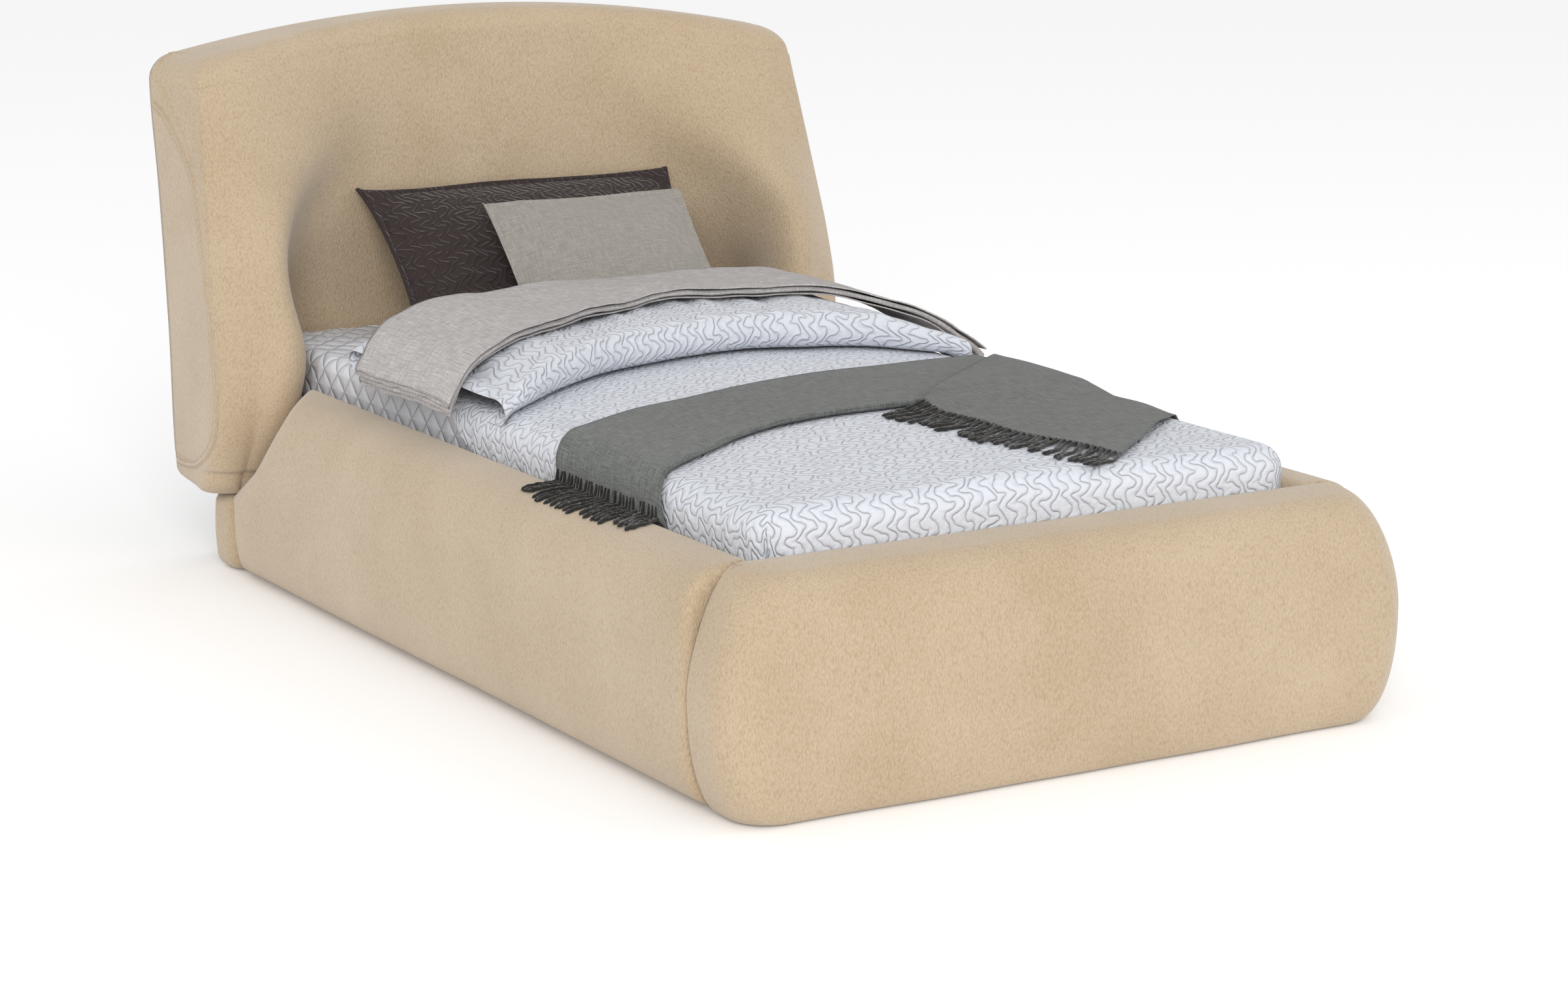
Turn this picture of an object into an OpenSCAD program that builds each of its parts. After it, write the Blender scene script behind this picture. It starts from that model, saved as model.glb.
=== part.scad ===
// Upholstered twin bed: a curved winged headboard, two padded side rails and a
// pillow-shaped footboard on a slatted base, dressed with its mattress and bedding.
// Millimetres. X runs across the bed, +Y towards the head, +Z up. The origin is on
// the floor, under the centre of the whole bed.

/* [Overall] */
// Length from the footboard's bulge to the headboard's back
bed_len = 2175; // [2150:1:2300]
// Height of the headboard's crown above the floor
crown_h = 1030; // [1000:1:1150]
// Drop of the headboard's arched top per square metre of half width
crown_drop = 175; // [0:1:200]

/* [Side rails and footboard] */
// Height of the rails and the footboard
rail_h = 381; // [340:1:420]
// Half the clear width between the rails
inner_half = 505; // [500:1:530]
// Thickness of a padded side rail at its bulge
rail_t = 132; // [110:1:150]
// Thickness of the padded footboard at its bulge
foot_t = 137; // [120:1:160]
// Thickness of the boards inside the rails and the footboard
board_t = 25; // [18:1:30]
// Height of the floor glides, so the gap under the fabric
glide_h = 3; // [2:0.5:6]

/* [Headboard] */
// Thickness of the headboard at its middle
panel_t = 105; // [95:1:120]
// Depth of the wooden frame inside the headboard
frame_d = 57; // [40:1:60]
// Thickness of the back panel
back_t = 8; // [4:1:12]
// Height of the underside of the wings
wing_z = 150; // [140:1:160]
// Radius of the wings' outer roll
roll_r = 55; // [40:1:60]
// Depth of the hollow between a wing's outer roll and its inner bulge
wing_hollow = 16; // [0:1:25]

/* [Slatted base] */
// Number of slats
slat_count = 11; // [10:1:11]
// Width of a slat
slat_w = 90; // [60:1:100]
// Thickness of a slat
slat_t = 12; // [10:1:16]
// Height of the slats' top, where the mattress lies
slat_top = 200; // [190:1:210]
// Side of the square ledge under the slats' ends
ledge_s = 30; // [25:1:35]

/* [Centre support] */
// Width of the centre beam
beam_w = 40; // [30:1:60]
// Height of the centre beam
beam_h = 55; // [40:1:70]
// Radius of a centre leg
leg_r = 20; // [15:1:25]
// Radius of the levelling screw
screw_r = 5; // [4:0.5:6]

/* [Mattress and bedding] */
// Width of the mattress
mat_w = 965; // [960:1:972]
// Length of the mattress
mat_l = 1905; // [1890:1:1905]
// Thickness of the mattress
mat_t = 230; // [200:1:240]
// Thickness of the quilted mattress pad
pad_t = 4; // [3:1:5]
// Thickness of the coverlet where it lies flat
cover_t = 10; // [6:1:10]

/* [Hidden] */
$fn = 48;
side_names = ["left", "right"];
slat_ids = [for (i = [1:slat_count]) str("slat_", i)];
leg_ids = [for (i = [1:3]) str("centre_leg_", i)];
foot_ids = [for (i = [1:3]) str("levelling_foot_", i)];

foot_y = -bed_len / 2;              // front of the footboard's bulge
head_y = bed_len / 2;               // back of the headboard
foot_back = foot_y + foot_t;        // back face of the footboard
rail_x = inner_half + rail_t;       // outside of a rail's bulge
rail_half_h = (rail_h - glide_h) / 2;
rail_mid_z = glide_h + rail_half_h;
rail_end = head_y - 212;            // upright rear end of a rail
rail_slant_z = 150;                 // where the rear end starts to slant forward
rail_slant_y = rail_end - 236;      // where the slant reaches the rail's top
inner_board_x = inner_half + board_t;
frame_front = head_y - back_t - frame_d;
cavity_x = 585;                     // half width of the headboard's frame space
former_t = 18;
leg_t = 22;
fabric_gap = 1;                     // between padded pieces that meet
ledge_top = slat_top - slat_t;
beam_top = ledge_top;
mat_z = slat_top;
mat_top = mat_z + mat_t;
mat_head = head_y - panel_t - pad_t - 7;
mat_foot = mat_head - mat_l;
mat_mid = (mat_head + mat_foot) / 2;
pad_x = mat_w / 2 + pad_t;
pad_top = mat_top + pad_t;
cover_x = pad_x + cover_t;
cover_top = pad_top + cover_t;
cover_head = mat_foot + 1462;       // where the coverlet is folded back
slat_first = foot_back + 75;
slat_last = head_y - 182;
slat_pitch = (slat_last - slat_first) / (slat_count - 1);
leg_ys = [slat_first + 1.5 * slat_pitch, slat_first + 5.5 * slat_pitch,
          slat_first + 8.5 * slat_pitch];
bracket_t = 4;
bolt_r = 4;
insert_r = 6.5;
bolt_l = 22;                        // bolt length below its head
wood = "burlywood";
ply = "wheat";
cloth = [0.80, 0.70, 0.55];

// ---------------------------------------------------------------- helpers
// Points of an arc: centre c, radius r, from angle a to angle b
function arc(c, r, a, b, n = 8) =
    [for (i = [0:n]) let (t = a + (b - a) * i / n) c + r * [cos(t), sin(t)]];
function mix(a, b, t) = a + (b - a) * t;
function clamp01(t) = min(1, max(0, t));
// Rounded rectangle centred on the origin
function round_rect(w, l, r) = concat(
    arc([w / 2 - r, l / 2 - r], r, 0, 90), arc([r - w / 2, l / 2 - r], r, 90, 180),
    arc([r - w / 2, r - l / 2], r, 180, 270), arc([w / 2 - r, r - l / 2], r, 270, 360));

// Strips that fill a ring of n points, between points i and n - 1 - i
function ring_strips(n) = concat(
    [for (i = [0:n / 2 - 2]) [i, i + 1, n - 1 - i]],
    [for (i = [0:n / 2 - 2]) [i + 1, n - 2 - i, n - 1 - i]]);

// A closed solid through a stack of rings that all have the same even number of
// points; bottom and top are the faces that fill the first and the last ring
module ring_stack(rings, bottom = [], top = []) {
    n = len(rings[0]);
    m = len(rings);
    side = [for (j = [0:m - 2], i = [0:n - 1])
        [j * n + i, j * n + (i + 1) % n, (j + 1) * n + (i + 1) % n, (j + 1) * n + i]];
    last = (m - 1) * n;
    polyhedron(
        points = [for (ring = rings, p = ring) p],
        faces = concat([for (q = side) [q[2], q[1], q[0]]],
                       [for (q = side) [q[3], q[2], q[0]]],
                       len(bottom) > 0 ? bottom : ring_strips(n),
                       [for (f = len(top) > 0 ? top : ring_strips(n))
                           [last + f[2], last + f[1], last + f[0]]]));
}

module mirror_for(side) {
    if (side == "left") mirror([1, 0, 0]) children(); else children();
}

// ---------------------------------------------------------------- headboard shell
// Each list pairs a height with the shell's half width or its depth from the back.
back_x = [[150, 606], [190, 620], [270, 630], [420, 636], [760, 646],
          [930, 655], [1040, 655]];
roll_x = [[150, 572], [200, 588], [300, 602], [475, 610], [600, 602], [800, 588],
          [900, 580], [1040, 572]];
roll_front = [[150, 186], [170, 212], [200, 241], [250, 286], [300, 320], [400, 344],
              [475, 340], [600, 311], [800, 266], [900, 244], [1000, 215], [1040, 200]];
bulge_x = [[150, 545], [430, 537], [630, 537], [700, 527], [750, 512], [800, 490],
           [900, 450], [1040, 430]];
bulge_front = [[150, 186], [170, 212], [200, 242], [250, 294], [300, 338], [375, 374],
               [430, 384], [550, 393], [600, 394], [650, 385], [700, 355], [750, 310],
               [800, 262], [850, 225], [900, 195], [950, 175], [1040, 155]];
crease_x = [[150, 553], [450, 553], [560, 543], [630, 522], [700, 462], [800, 332],
            [900, 262], [1040, 242]];

// Value of a list at height z, with the corners between its points eased
function eased(z, list) =
    (lookup(z - 20, list) + 2 * lookup(z, list) + lookup(z + 20, list)) / 4;

// Half of the shell's outline at height z, as [x, depth] from the back's outer
// corner round the wing to the middle of the front
function half_section(z) =
    let (bx = eased(z, back_x), rx = eased(z, roll_x), rf = eased(z, roll_front),
         ix = eased(z, bulge_x), bf = eased(z, bulge_front), cx = eased(z, crease_x),
         rr = min(roll_r, rf / 3), k = 0.707 * rr,
         upper = clamp01((z - 620) / 130),
         inner_x = mix(ix - 45, ix - 70, upper), inner_d = mix(bf - 48, bf - 34, upper),
         inner_a = max(inner_d, panel_t + 10),
         crease_d = min(panel_t + 40, inner_a - 8))
    [[bx, 0], [mix(bx, rx + rr, 0.55), rf * 0.45], [rx + rr, rf - rr],
     [rx + k, rf - rr + k], [rx, rf],
     [(rx + ix) / 2 + 14 * (1 - upper), (rf + bf) / 2 - wing_hollow],
     [ix + 26, bf - 8], [ix, bf], [ix - 30, max(bf - 14, panel_t + 15)],
     [inner_x, inner_a],
     [mix(inner_x, cx, 0.55), mix(inner_a, crease_d, 0.55)],
     [cx, mix(crease_d, panel_t + 12, upper)], [cx - 45, panel_t + 3],
     [cx * 0.6, panel_t + 2], [cx * 0.25, panel_t + 4]];

// Points of the back edge, as parts of its half width
back_parts = [0.10, 0.28, 0.46, 0.64, 0.82];

// The outline at height z, drawn in by e at the rounded top and bottom edges
function shell_ring(z, e) =
    let (front = half_section(z), lift = clamp01((z - 600) / (crown_h - 600)),
         h = concat([for (t = back_parts) [t * front[0][0], 0]], front), n = len(h),
         half = [for (p = h) [max(p[0] - e * (p[0] > 300 ? 1 : p[0] / 300), 0),
                              max(p[1] - e, min(p[1], 12))]],
         full = concat(half, [for (i = [n - 1:-1:0]) [-half[i][0], half[i][1]]]))
    [for (p = full)
        [-p[0], head_y - p[1], z - lift * crown_drop * pow(p[0] / 1000, 2)]];

shell_zs = [150, 154, 162, 176, 200, 230, 270, 320, 375, 430, 490, 550, 600, 650, 700, 750,
            800, 850, 900, 950, 975, 998, 1015, 1025, 1030];
function edge_inset(z) =
    z > crown_h - 45 ? 45 - sqrt(pow(45, 2) - pow(z - crown_h + 45, 2)) * 0.98
    : z < wing_z + 26 ? 26 - sqrt(pow(26, 2) - pow(wing_z + 26 - z, 2)) * 0.98 : 0;

// Faces of the arched top, half by half: each point k of the back edge takes two
// points of the front, and the last one takes the whole outer end
b_n = len(back_parts);
r_n = 2 * (b_n + 15);               // points of a whole outline
half_top = concat(
    [for (k = [0:b_n - 1]) [k, r_n / 2 - 2 - 2 * k, r_n / 2 - 1 - 2 * k]],
    [for (k = [0:b_n - 2]) [k, k + 1, r_n / 2 - 2 - 2 * k]],
    [for (k = [0:b_n - 2]) [k + 1, r_n / 2 - 3 - 2 * k, r_n / 2 - 2 - 2 * k]],
    [for (i = [b_n:r_n / 2 - 2 * b_n - 1]) [b_n - 1, i, i + 1]]);
shell_top = concat(half_top,
    [for (f = half_top) [r_n - 1 - f[2], r_n - 1 - f[1], r_n - 1 - f[0]]],
    [[0, r_n / 2 - 1, r_n / 2], [0, r_n / 2, r_n - 1]]);

module head_shell() {
    ring_stack([for (z = shell_zs) shell_ring(z, min(edge_inset(z), 30))],
               [[for (i = [0:r_n - 1]) i]], shell_top);
}

// Outline of the side panel, as depth from the back and height
side_seam = [[-1, 190], [60, 191], [150, 207], [210, 236], [246, 280], [265, 332],
             [270, 400], [252, 510], [226, 615], [176, 762], [122, 842], [50, 916],
             [-1, 940]];

// Prism that reaches from half width x0 outwards over a [depth, height] outline
module side_prism(outline, x0, x1) {
    translate([x0, head_y, 0]) rotate([90, 0, 90])
        linear_extrude(x1 - x0)
            polygon([for (p = outline) [-p[0], p[1]]]);
}

// Space for the wooden frame: open at the back and below
stile_w = 70;
stile_in = cavity_x - stile_w;
stile_z = 205;                      // underside of the stiles
stile_top = 880;                    // where the stiles meet the arched top rail
module frame_space(grow = 0) {
    top = [for (i = [-8:8]) let (x = i * (cavity_x + grow) / 8)
        [x, crown_h - 58 + grow - crown_drop * pow(x / 1000, 2)]];
    translate([0, head_y + 1, 0]) rotate([90, 0, 0])
        linear_extrude(back_t + frame_d + 1)
            polygon(concat([[cavity_x + grow, stile_z], [stile_in, stile_z],
                            [stile_in, 100], [-stile_in, 100], [-stile_in, stile_z],
                            [-cavity_x - grow, stile_z]], top));
}

former_outline = [[back_t, 205], [120, 205], [190, 225], [240, 270], [280, 330],
                  [292, 420], [282, 520], [252, 620], [215, 740], [190, 840],
                  [150, 900], [100, 925], [back_t, 925]];
leg_outline = [[back_t + frame_d, 340], [140, 340], [158, 300], [158, glide_h],
               [116, glide_h], [116, 215], [back_t + frame_d, 215]];

module former_blank() {
    side_prism(former_outline, cavity_x, cavity_x + former_t);
}

module leg_blank() {
    side_prism(leg_outline, cavity_x - leg_t, cavity_x);
}

// Notch under the pad's middle for the beam's end, its cradle and their screws
module beam_notch() {
    translate([-beam_w / 2 - 33, head_y - panel_t - 20, wing_z - 1])
        cube([beam_w + 66, panel_t + 20 - back_t - frame_d + 1, beam_top - wing_z + 3]);
}

module head_pad() {
    color(cloth) difference() {
        head_shell();
        frame_space();
        beam_notch();
        for (side = side_names) mirror_for(side) {
            side_prism(side_seam, cavity_x + former_t + 2, 720);
            former_blank();
            leg_blank();
        }
    }
}

module head_side_panel(side) {
    color(cloth) mirror_for(side) intersection() {
        head_shell();
        side_prism(side_seam, cavity_x + former_t + 2, 720);
    }
}

lower_half = 480;                   // half width of the frame below the wings
lower_z = 40;                       // underside of the frame
module head_back_panel() {
    color("tan") translate([0, head_y, 0]) rotate([90, 0, 0])
        linear_extrude(back_t)
            polygon(concat(
                [[cavity_x, stile_z], [stile_in, stile_z], [stile_in, wing_z],
                 [lower_half, wing_z], [lower_half, lower_z], [-lower_half, lower_z],
                 [-lower_half, wing_z], [-stile_in, wing_z], [-stile_in, stile_z],
                 [-cavity_x, stile_z]],
                [for (i = [-8:8]) let (x = i * cavity_x / 8)
                    [x, crown_h - 58 - crown_drop * pow(x / 1000, 2)]]));
}

module head_stile(side) {
    color(wood) mirror_for(side)
        translate([stile_in, frame_front, stile_z])
            cube([stile_w, frame_d, stile_top - stile_z]);
}

// Arched top rail that lies over both stiles
module head_top_rail() {
    color(wood) translate([0, head_y - back_t, 0]) rotate([90, 0, 0])
        linear_extrude(frame_d)
            polygon(concat(
                [[cavity_x, stile_top], [-cavity_x, stile_top]],
                [for (i = [-8:8]) let (x = i * cavity_x / 8)
                    [x, crown_h - 58 - crown_drop * pow(x / 1000, 2)]]));
}

module head_mid_rail() {
    color(wood) translate([-stile_in, frame_front, 520])
        cube([2 * stile_in, frame_d, 80]);
}

module head_bottom_rail() {
    color(wood) difference() {
        union() {
            translate([-stile_in, frame_front, wing_z])
                cube([2 * stile_in, frame_d, 130]);
            translate([-lower_half, frame_front, lower_z])
                cube([2 * lower_half, frame_d, wing_z - lower_z]);
        }
        head_bracket_holes(insert_r, 16);
        cradle_screw_holes(frame_front, 1);
    }
}

module wing_former(side) {
    color(ply) mirror_for(side) former_blank();
}

module head_leg(side) {
    color(ply) mirror_for(side) leg_blank();
}

plinth_w = 85;
module plinth_pad(side) {
    color(cloth) mirror_for(side) difference() {
        translate([605 - plinth_w / 2, head_y - 158, glide_h])
            linear_extrude(wing_z - glide_h - fabric_gap)
                polygon(round_rect(plinth_w, 104, 32));
        leg_blank();
    }
}

// ---------------------------------------------------------------- side rails
// Outline of a rail's section, as half width and height: a flat inner face, a
// rounded inner top edge and a pillow-shaped outside
edge_r = 25;
rail_section = concat(
    [[inner_half, glide_h]],
    [for (a = [-84:12:84])
        [inner_half + rail_t * pow(cos(a), 0.5),
         rail_mid_z + rail_half_h * sign(a) * pow(abs(sin(a)), 0.5)]],
    arc([inner_half + edge_r, rail_h - edge_r], edge_r, 90, 180, 6));

// Side view of the room behind a rail's rear end: upright, then slanting forward
rail_cut = [[rail_end, -1], [rail_end, rail_slant_z], [rail_end - 205, 345],
            [rail_slant_y + 16, 366], [rail_slant_y, rail_h + 1],
            [head_y, rail_h + 1], [head_y, -1]];

module rail_room(grow = 0) {
    translate([inner_half - 1, 0, 0]) rotate([90, 0, 90])
        linear_extrude(rail_t + 20)
            polygon([for (p = rail_cut) [p[0] - grow, p[1]]]);
}

rail_board_h = 330;
module rail_board_blank() {
    difference() {
        translate([inner_half, foot_back + 12, 14])
            cube([board_t, rail_end - foot_back - 12, rail_board_h]);
        rail_room(30);
    }
}

module rail_board(side) {
    color(ply) mirror_for(side) difference() {
        rail_board_blank();
        bracket_bolt_holes(insert_r, 16);
    }
}

module rail_pad(side) {
    color(cloth) mirror_for(side) difference() {
        translate([0, foot_back + fabric_gap, 0]) rotate([90, 0, 0]) mirror([0, 0, 1])
            linear_extrude(rail_end - foot_back - fabric_gap)
                polygon(rail_section);
        rail_room();
        rail_board_blank();
    }
}

module slat_ledge(side) {
    color(wood) mirror_for(side)
        translate([inner_half - ledge_s, foot_back + 90, ledge_top - ledge_s])
            cube([ledge_s, rail_end - foot_back - 130, ledge_s]);
}

// ---------------------------------------------------------------- footboard
foot_end = 76;                      // how far the padded end swells past its edge
foot_crown = 5;                     // how far the front bows out at its middle
// Half of a plan outline at height z: back corner, rounded end, bulging front
function foot_ring(z) =
    let (t = abs(z - rail_mid_z) / rail_half_h,
         swell = pow(max(1 - pow(t, 2.6), 0), 0.385),
         w = rail_x - foot_end * (1 - swell),
         lean = z < rail_mid_z ? 26 : 62,
         front = foot_y + foot_crown + lean * (1 - pow(max(1 - pow(t, 3), 0), 0.5)),
         r = 62, b = 16,
         half = concat([[w - b, foot_back]],
             arc([w - b, foot_back - b], b, 70, 0, 3),
             arc([w - r, front + r], r, 0, -90, 7),
             [[w * 0.5, front - foot_crown]]),
         n = len(half))
    [for (p = concat(half, [for (i = [n - 1:-1:0]) [-half[i][0], half[i][1]]]))
        [-p[0], p[1], z]];

module footboard_blank() {
    ring_stack([for (a = [-90:10:90])
        foot_ring(rail_mid_z + rail_half_h * sin(a))]);
}

foot_board_w = 1080;
module footboard_board_blank() {
    translate([-foot_board_w / 2, foot_back - board_t, 16])
        cube([foot_board_w, board_t, 330]);
}

module footboard_board() {
    color(ply) difference() {
        footboard_board_blank();
        foot_bracket_holes(insert_r, 16);
        cradle_screw_holes(foot_back, -1);
    }
}

module footboard_pad() {
    color(cloth) difference() {
        footboard_blank();
        footboard_board_blank();
    }
}

// ---------------------------------------------------------------- corner hardware
bracket_z = 50;                     // underside of the steel brackets
bracket_h = 95;
bracket_leg = 90;
foot_bolt_z = [bracket_z + 22, bracket_z + bracket_h - 22];
foot_bolt_x = inner_half - 55;
rail_bolt_y = foot_back + 55;
head_bolt_y = rail_end - 60;
head_bolt_x = inner_half - 55;

// A bolt-shaped space along Y: into the board at y, in direction dir
module bore_y(x, y, z, r, depth, dir) {
    translate([x, y, z]) rotate([dir > 0 ? -90 : 90, 0, 0]) cylinder(h = depth, r = r);
}

module bore_x(x, y, z, r, depth) {
    translate([x, y, z]) rotate([0, 90, 0]) cylinder(h = depth, r = r);
}

// Holes in the footboard's board, both sides
module foot_bracket_holes(r, depth) {
    for (s = [-1, 1], z = foot_bolt_z)
        bore_y(s * foot_bolt_x, foot_back, z, r, depth, -1);
}

// Holes in the headboard's bottom rail, both sides
module head_bracket_holes(r, depth) {
    for (s = [-1, 1], z = foot_bolt_z)
        bore_y(s * head_bolt_x, frame_front, z, r, depth, 1);
}

// Holes in one rail's board, at its foot end and its head end
module bracket_bolt_holes(r, depth) {
    for (y = [rail_bolt_y, head_bolt_y], z = foot_bolt_z)
        bore_x(inner_half, y, z, r, depth);
}

module foot_bracket(side) {
    color("silver") mirror_for(side) difference() {
        union() {
            translate([inner_half - bracket_leg, foot_back, bracket_z])
                cube([bracket_leg, bracket_t, bracket_h]);
            translate([inner_half - bracket_t, foot_back, bracket_z])
                cube([bracket_t, bracket_leg, bracket_h]);
        }
        for (z = foot_bolt_z) {
            bore_y(foot_bolt_x, foot_back - 1, z, bolt_r + 0.5, 10, 1);
            bore_x(inner_half - 8, rail_bolt_y, z, bolt_r + 0.5, 10);
        }
    }
}

module head_bracket(side) {
    reach = frame_front - head_bolt_y + 35;
    color("silver") mirror_for(side) difference() {
        union() {
            translate([inner_half - bracket_leg, frame_front - bracket_t, bracket_z])
                cube([bracket_leg, bracket_t, bracket_h]);
            translate([inner_half - bracket_t, frame_front - reach, bracket_z])
                cube([bracket_t, reach, bracket_h]);
        }
        for (z = foot_bolt_z) {
            bore_y(head_bolt_x, frame_front - 8, z, bolt_r + 0.5, 10, 1);
            bore_x(inner_half - 8, head_bolt_y, z, bolt_r + 0.5, 10);
        }
    }
}

// Bolt with its head's underside at the origin and its shank along +Z
module bolt() {
    difference() {
        union() {
            translate([0, 0, -4]) cylinder(h = 4, r = 7);
            cylinder(h = bolt_l - 4, r = bolt_r);
        }
        translate([0, 0, -5]) cylinder(h = 3.5, r = 2.5, $fn = 6);
    }
}

// Threaded sleeve that is screwed into a board, with its mouth at the origin
module insert() {
    difference() {
        cylinder(h = 15, r = insert_r);
        translate([0, 0, -1]) cylinder(h = 17, r = bolt_r + 0.05);
    }
}

// Puts its children at every bolt of the frame, set back by lift from the board
module at_bolts(lift) {
    for (s = [-1, 1], z = foot_bolt_z) {
        translate([s * foot_bolt_x, foot_back + lift, z]) rotate([90, 0, 0]) children();
        translate([s * head_bolt_x, frame_front - lift, z])
            rotate([-90, 0, 0]) children();
        for (y = [rail_bolt_y, head_bolt_y])
            translate([s * (inner_half - lift), y, z])
                rotate([0, s * 90, 0]) children();
    }
}

module frame_bolts() {
    color("dimgray") at_bolts(bracket_t) bolt();
}

module frame_inserts() {
    color("gold") at_bolts(0) insert();
}

// ---------------------------------------------------------------- centre support
cradle_l = 40;
cradle_t = 3;
cradle_screw_x = [-beam_w / 2 - 17, beam_w / 2 + 17];
beam_gap = 2;                       // play between the beam's end and the cradle

module centre_beam() {
    y0 = foot_back + cradle_t + beam_gap;
    y1 = frame_front - cradle_t - beam_gap;
    color(wood) difference() {
        translate([-beam_w / 2, y0, beam_top - beam_h]) cube([beam_w, y1 - y0, beam_h]);
        for (y = leg_ys)
            translate([0, y, beam_top - beam_h - 1]) cylinder(h = 26, r = bolt_r + 2);
    }
}

// U-shaped cradle with a back plate; it holds one end of the beam
module beam_cradle(wall_y, dir) {
    w = beam_w / 2;
    z0 = beam_top - beam_h - cradle_t;
    color("silver") difference() {
        union() {
            translate([-w - 30, min(wall_y, wall_y + dir * cradle_t), z0])
                cube([beam_w + 60, cradle_t, beam_h + cradle_t]);
            for (x = [-w - cradle_t, w])
                translate([x, min(wall_y, wall_y + dir * cradle_l), z0])
                    cube([cradle_t, cradle_l, beam_h + cradle_t]);
            translate([-w - cradle_t, min(wall_y, wall_y + dir * cradle_l), z0])
                cube([beam_w + 2 * cradle_t, cradle_l, cradle_t]);
        }
        for (x = cradle_screw_x)
            bore_y(x, wall_y - dir, beam_top - beam_h / 2, 2.5, cradle_t + 2, dir);
    }
}

// Pilot holes in the wood behind a cradle
module cradle_screw_holes(wall_y, into) {
    for (x = cradle_screw_x)
        bore_y(x, wall_y, beam_top - beam_h / 2, 2.5, 20, into);
}

leg_foot_z = 26;                    // underside of a centre leg's tube
module centre_leg(i) {
    color("black") translate([0, leg_ys[i], 0]) difference() {
        union() {
            translate([0, 0, leg_foot_z])
                cylinder(h = beam_top - beam_h - leg_foot_z, r = leg_r);
            translate([0, 0, beam_top - beam_h]) cylinder(h = 24, r = bolt_r + 1.9);
        }
        translate([0, 0, leg_foot_z - 1]) cylinder(h = 46, r = screw_r + 0.1);
    }
}

// Screw-in foot: a rubber-faced disc on a threaded stem
module levelling_foot(i) {
    color("dimgray") translate([0, leg_ys[i], 0]) {
        cylinder(h = 8, r = 19);
        translate([0, 0, 8]) cylinder(h = 40, r = screw_r);
    }
}

// Nail-on glides under the rails, the footboard and the headboard's legs
module floor_glides() {
    color("dimgray") {
        for (s = [-1, 1]) {
            for (y = [foot_back + 220, foot_back + 900, rail_end - 180])
                translate([s * (inner_half + 48), y, 0]) cylinder(h = glide_h, r = 14);
            translate([s * 450, foot_back - 55, 0]) cylinder(h = glide_h, r = 14);
            translate([s * (cavity_x - leg_t / 2), head_y - 137, 0])
                cylinder(h = glide_h, r = 10);
        }
    }
}

// ---------------------------------------------------------------- slats
slat_half = inner_half - 8;
web_x = 250;                        // the two ribbons that keep the slats apart
function slat_y(i) = slat_first + (i - 1) * slat_pitch;

module slat(i) {
    color(ply) difference() {
        translate([-slat_half, slat_y(i) - slat_w / 2, ledge_top])
            cube([2 * slat_half, slat_w, slat_t]);
        if (i == 1 || i == slat_count)
            for (s = [-1, 1])
                translate([s * (inner_half - ledge_s / 2), slat_y(i), ledge_top - 1])
                    cylinder(h = slat_t + 2, r = 2.5);
    }
}

module slat_webbing() {
    color("ivory") for (s = [-1, 1])
        translate([s * web_x - 15, slat_y(1) - slat_w / 2, ledge_top - 1.5])
            cube([30, slat_y(slat_count) - slat_y(1) + slat_w, 1.5]);
}

// Screws through the end slats into the ledges, and through the cradles' plates
module wood_screws() {
    color("silver") {
        for (s = [-1, 1], i = [1, slat_count])
            translate([s * (inner_half - ledge_s / 2), slat_y(i), ledge_top])
                cylinder(h = slat_t - 1, r = 2.4);
        for (x = cradle_screw_x) {
            bore_y(x, foot_back + cradle_t, beam_top - beam_h / 2, 2.4, 18, -1);
            bore_y(x, frame_front - cradle_t, beam_top - beam_h / 2, 2.4, 18, 1);
            bore_y(x, foot_back + cradle_t, beam_top - beam_h / 2, 4.5, 2, 1);
            bore_y(x, frame_front - cradle_t, beam_top - beam_h / 2, 4.5, 2, -1);
        }
    }
}

// ---------------------------------------------------------------- bedding
module mattress() {
    color("white") translate([0, mat_mid, mat_z])
        linear_extrude(mat_t) polygon(round_rect(mat_w, mat_l, 60));
}

module mattress_pad() {
    color("white") translate([0, mat_mid, mat_top - 120]) difference() {
        linear_extrude(120 + pad_t)
            polygon(round_rect(mat_w + 2 * pad_t, mat_l + 2 * pad_t, 64));
        translate([0, 0, -1]) linear_extrude(121)
            polygon(round_rect(mat_w, mat_l, 60));
    }
}

fold_len = 310;                     // how much of the coverlet is folded back
fold_t = 45;                        // height of the puffed fold
// Coverlet: a flat top with its sides and foot end tucked down round the mattress,
// and a puffed fold across its head end
module coverlet() {
    foot_end_y = mat_foot - pad_t - cover_t;
    len_all = cover_head - foot_end_y;
    color("white") difference() {
        union() {
            translate([0, foot_end_y + len_all / 2, pad_top - 90])
                linear_extrude(90 + cover_t)
                    polygon(round_rect(2 * cover_x, len_all, 68));
            translate([0, cover_head, 0]) rotate([90, 0, 0])
                linear_extrude(fold_len)
                    polygon(concat([[-cover_x, pad_top], [cover_x, pad_top]],
                        [for (a = [8:8:172])
                            [cover_x * pow(abs(cos(a)), 0.3) * sign(cos(a)),
                             pad_top + 8 + (cover_t + fold_t - 8) * pow(sin(a), 0.6)]]));
        }
        translate([0, mat_mid, pad_top - 91]) linear_extrude(91)
            polygon(round_rect(mat_w + 2 * pad_t, mat_l + 2 * pad_t, 64));
        translate([-cover_x - 1, cover_head - fold_len, pad_top - 95])
            cube([2 * cover_x + 2, fold_len + 200, 60]);
    }
}

blanket_t = 18;
blanket_half = 500;
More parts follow.
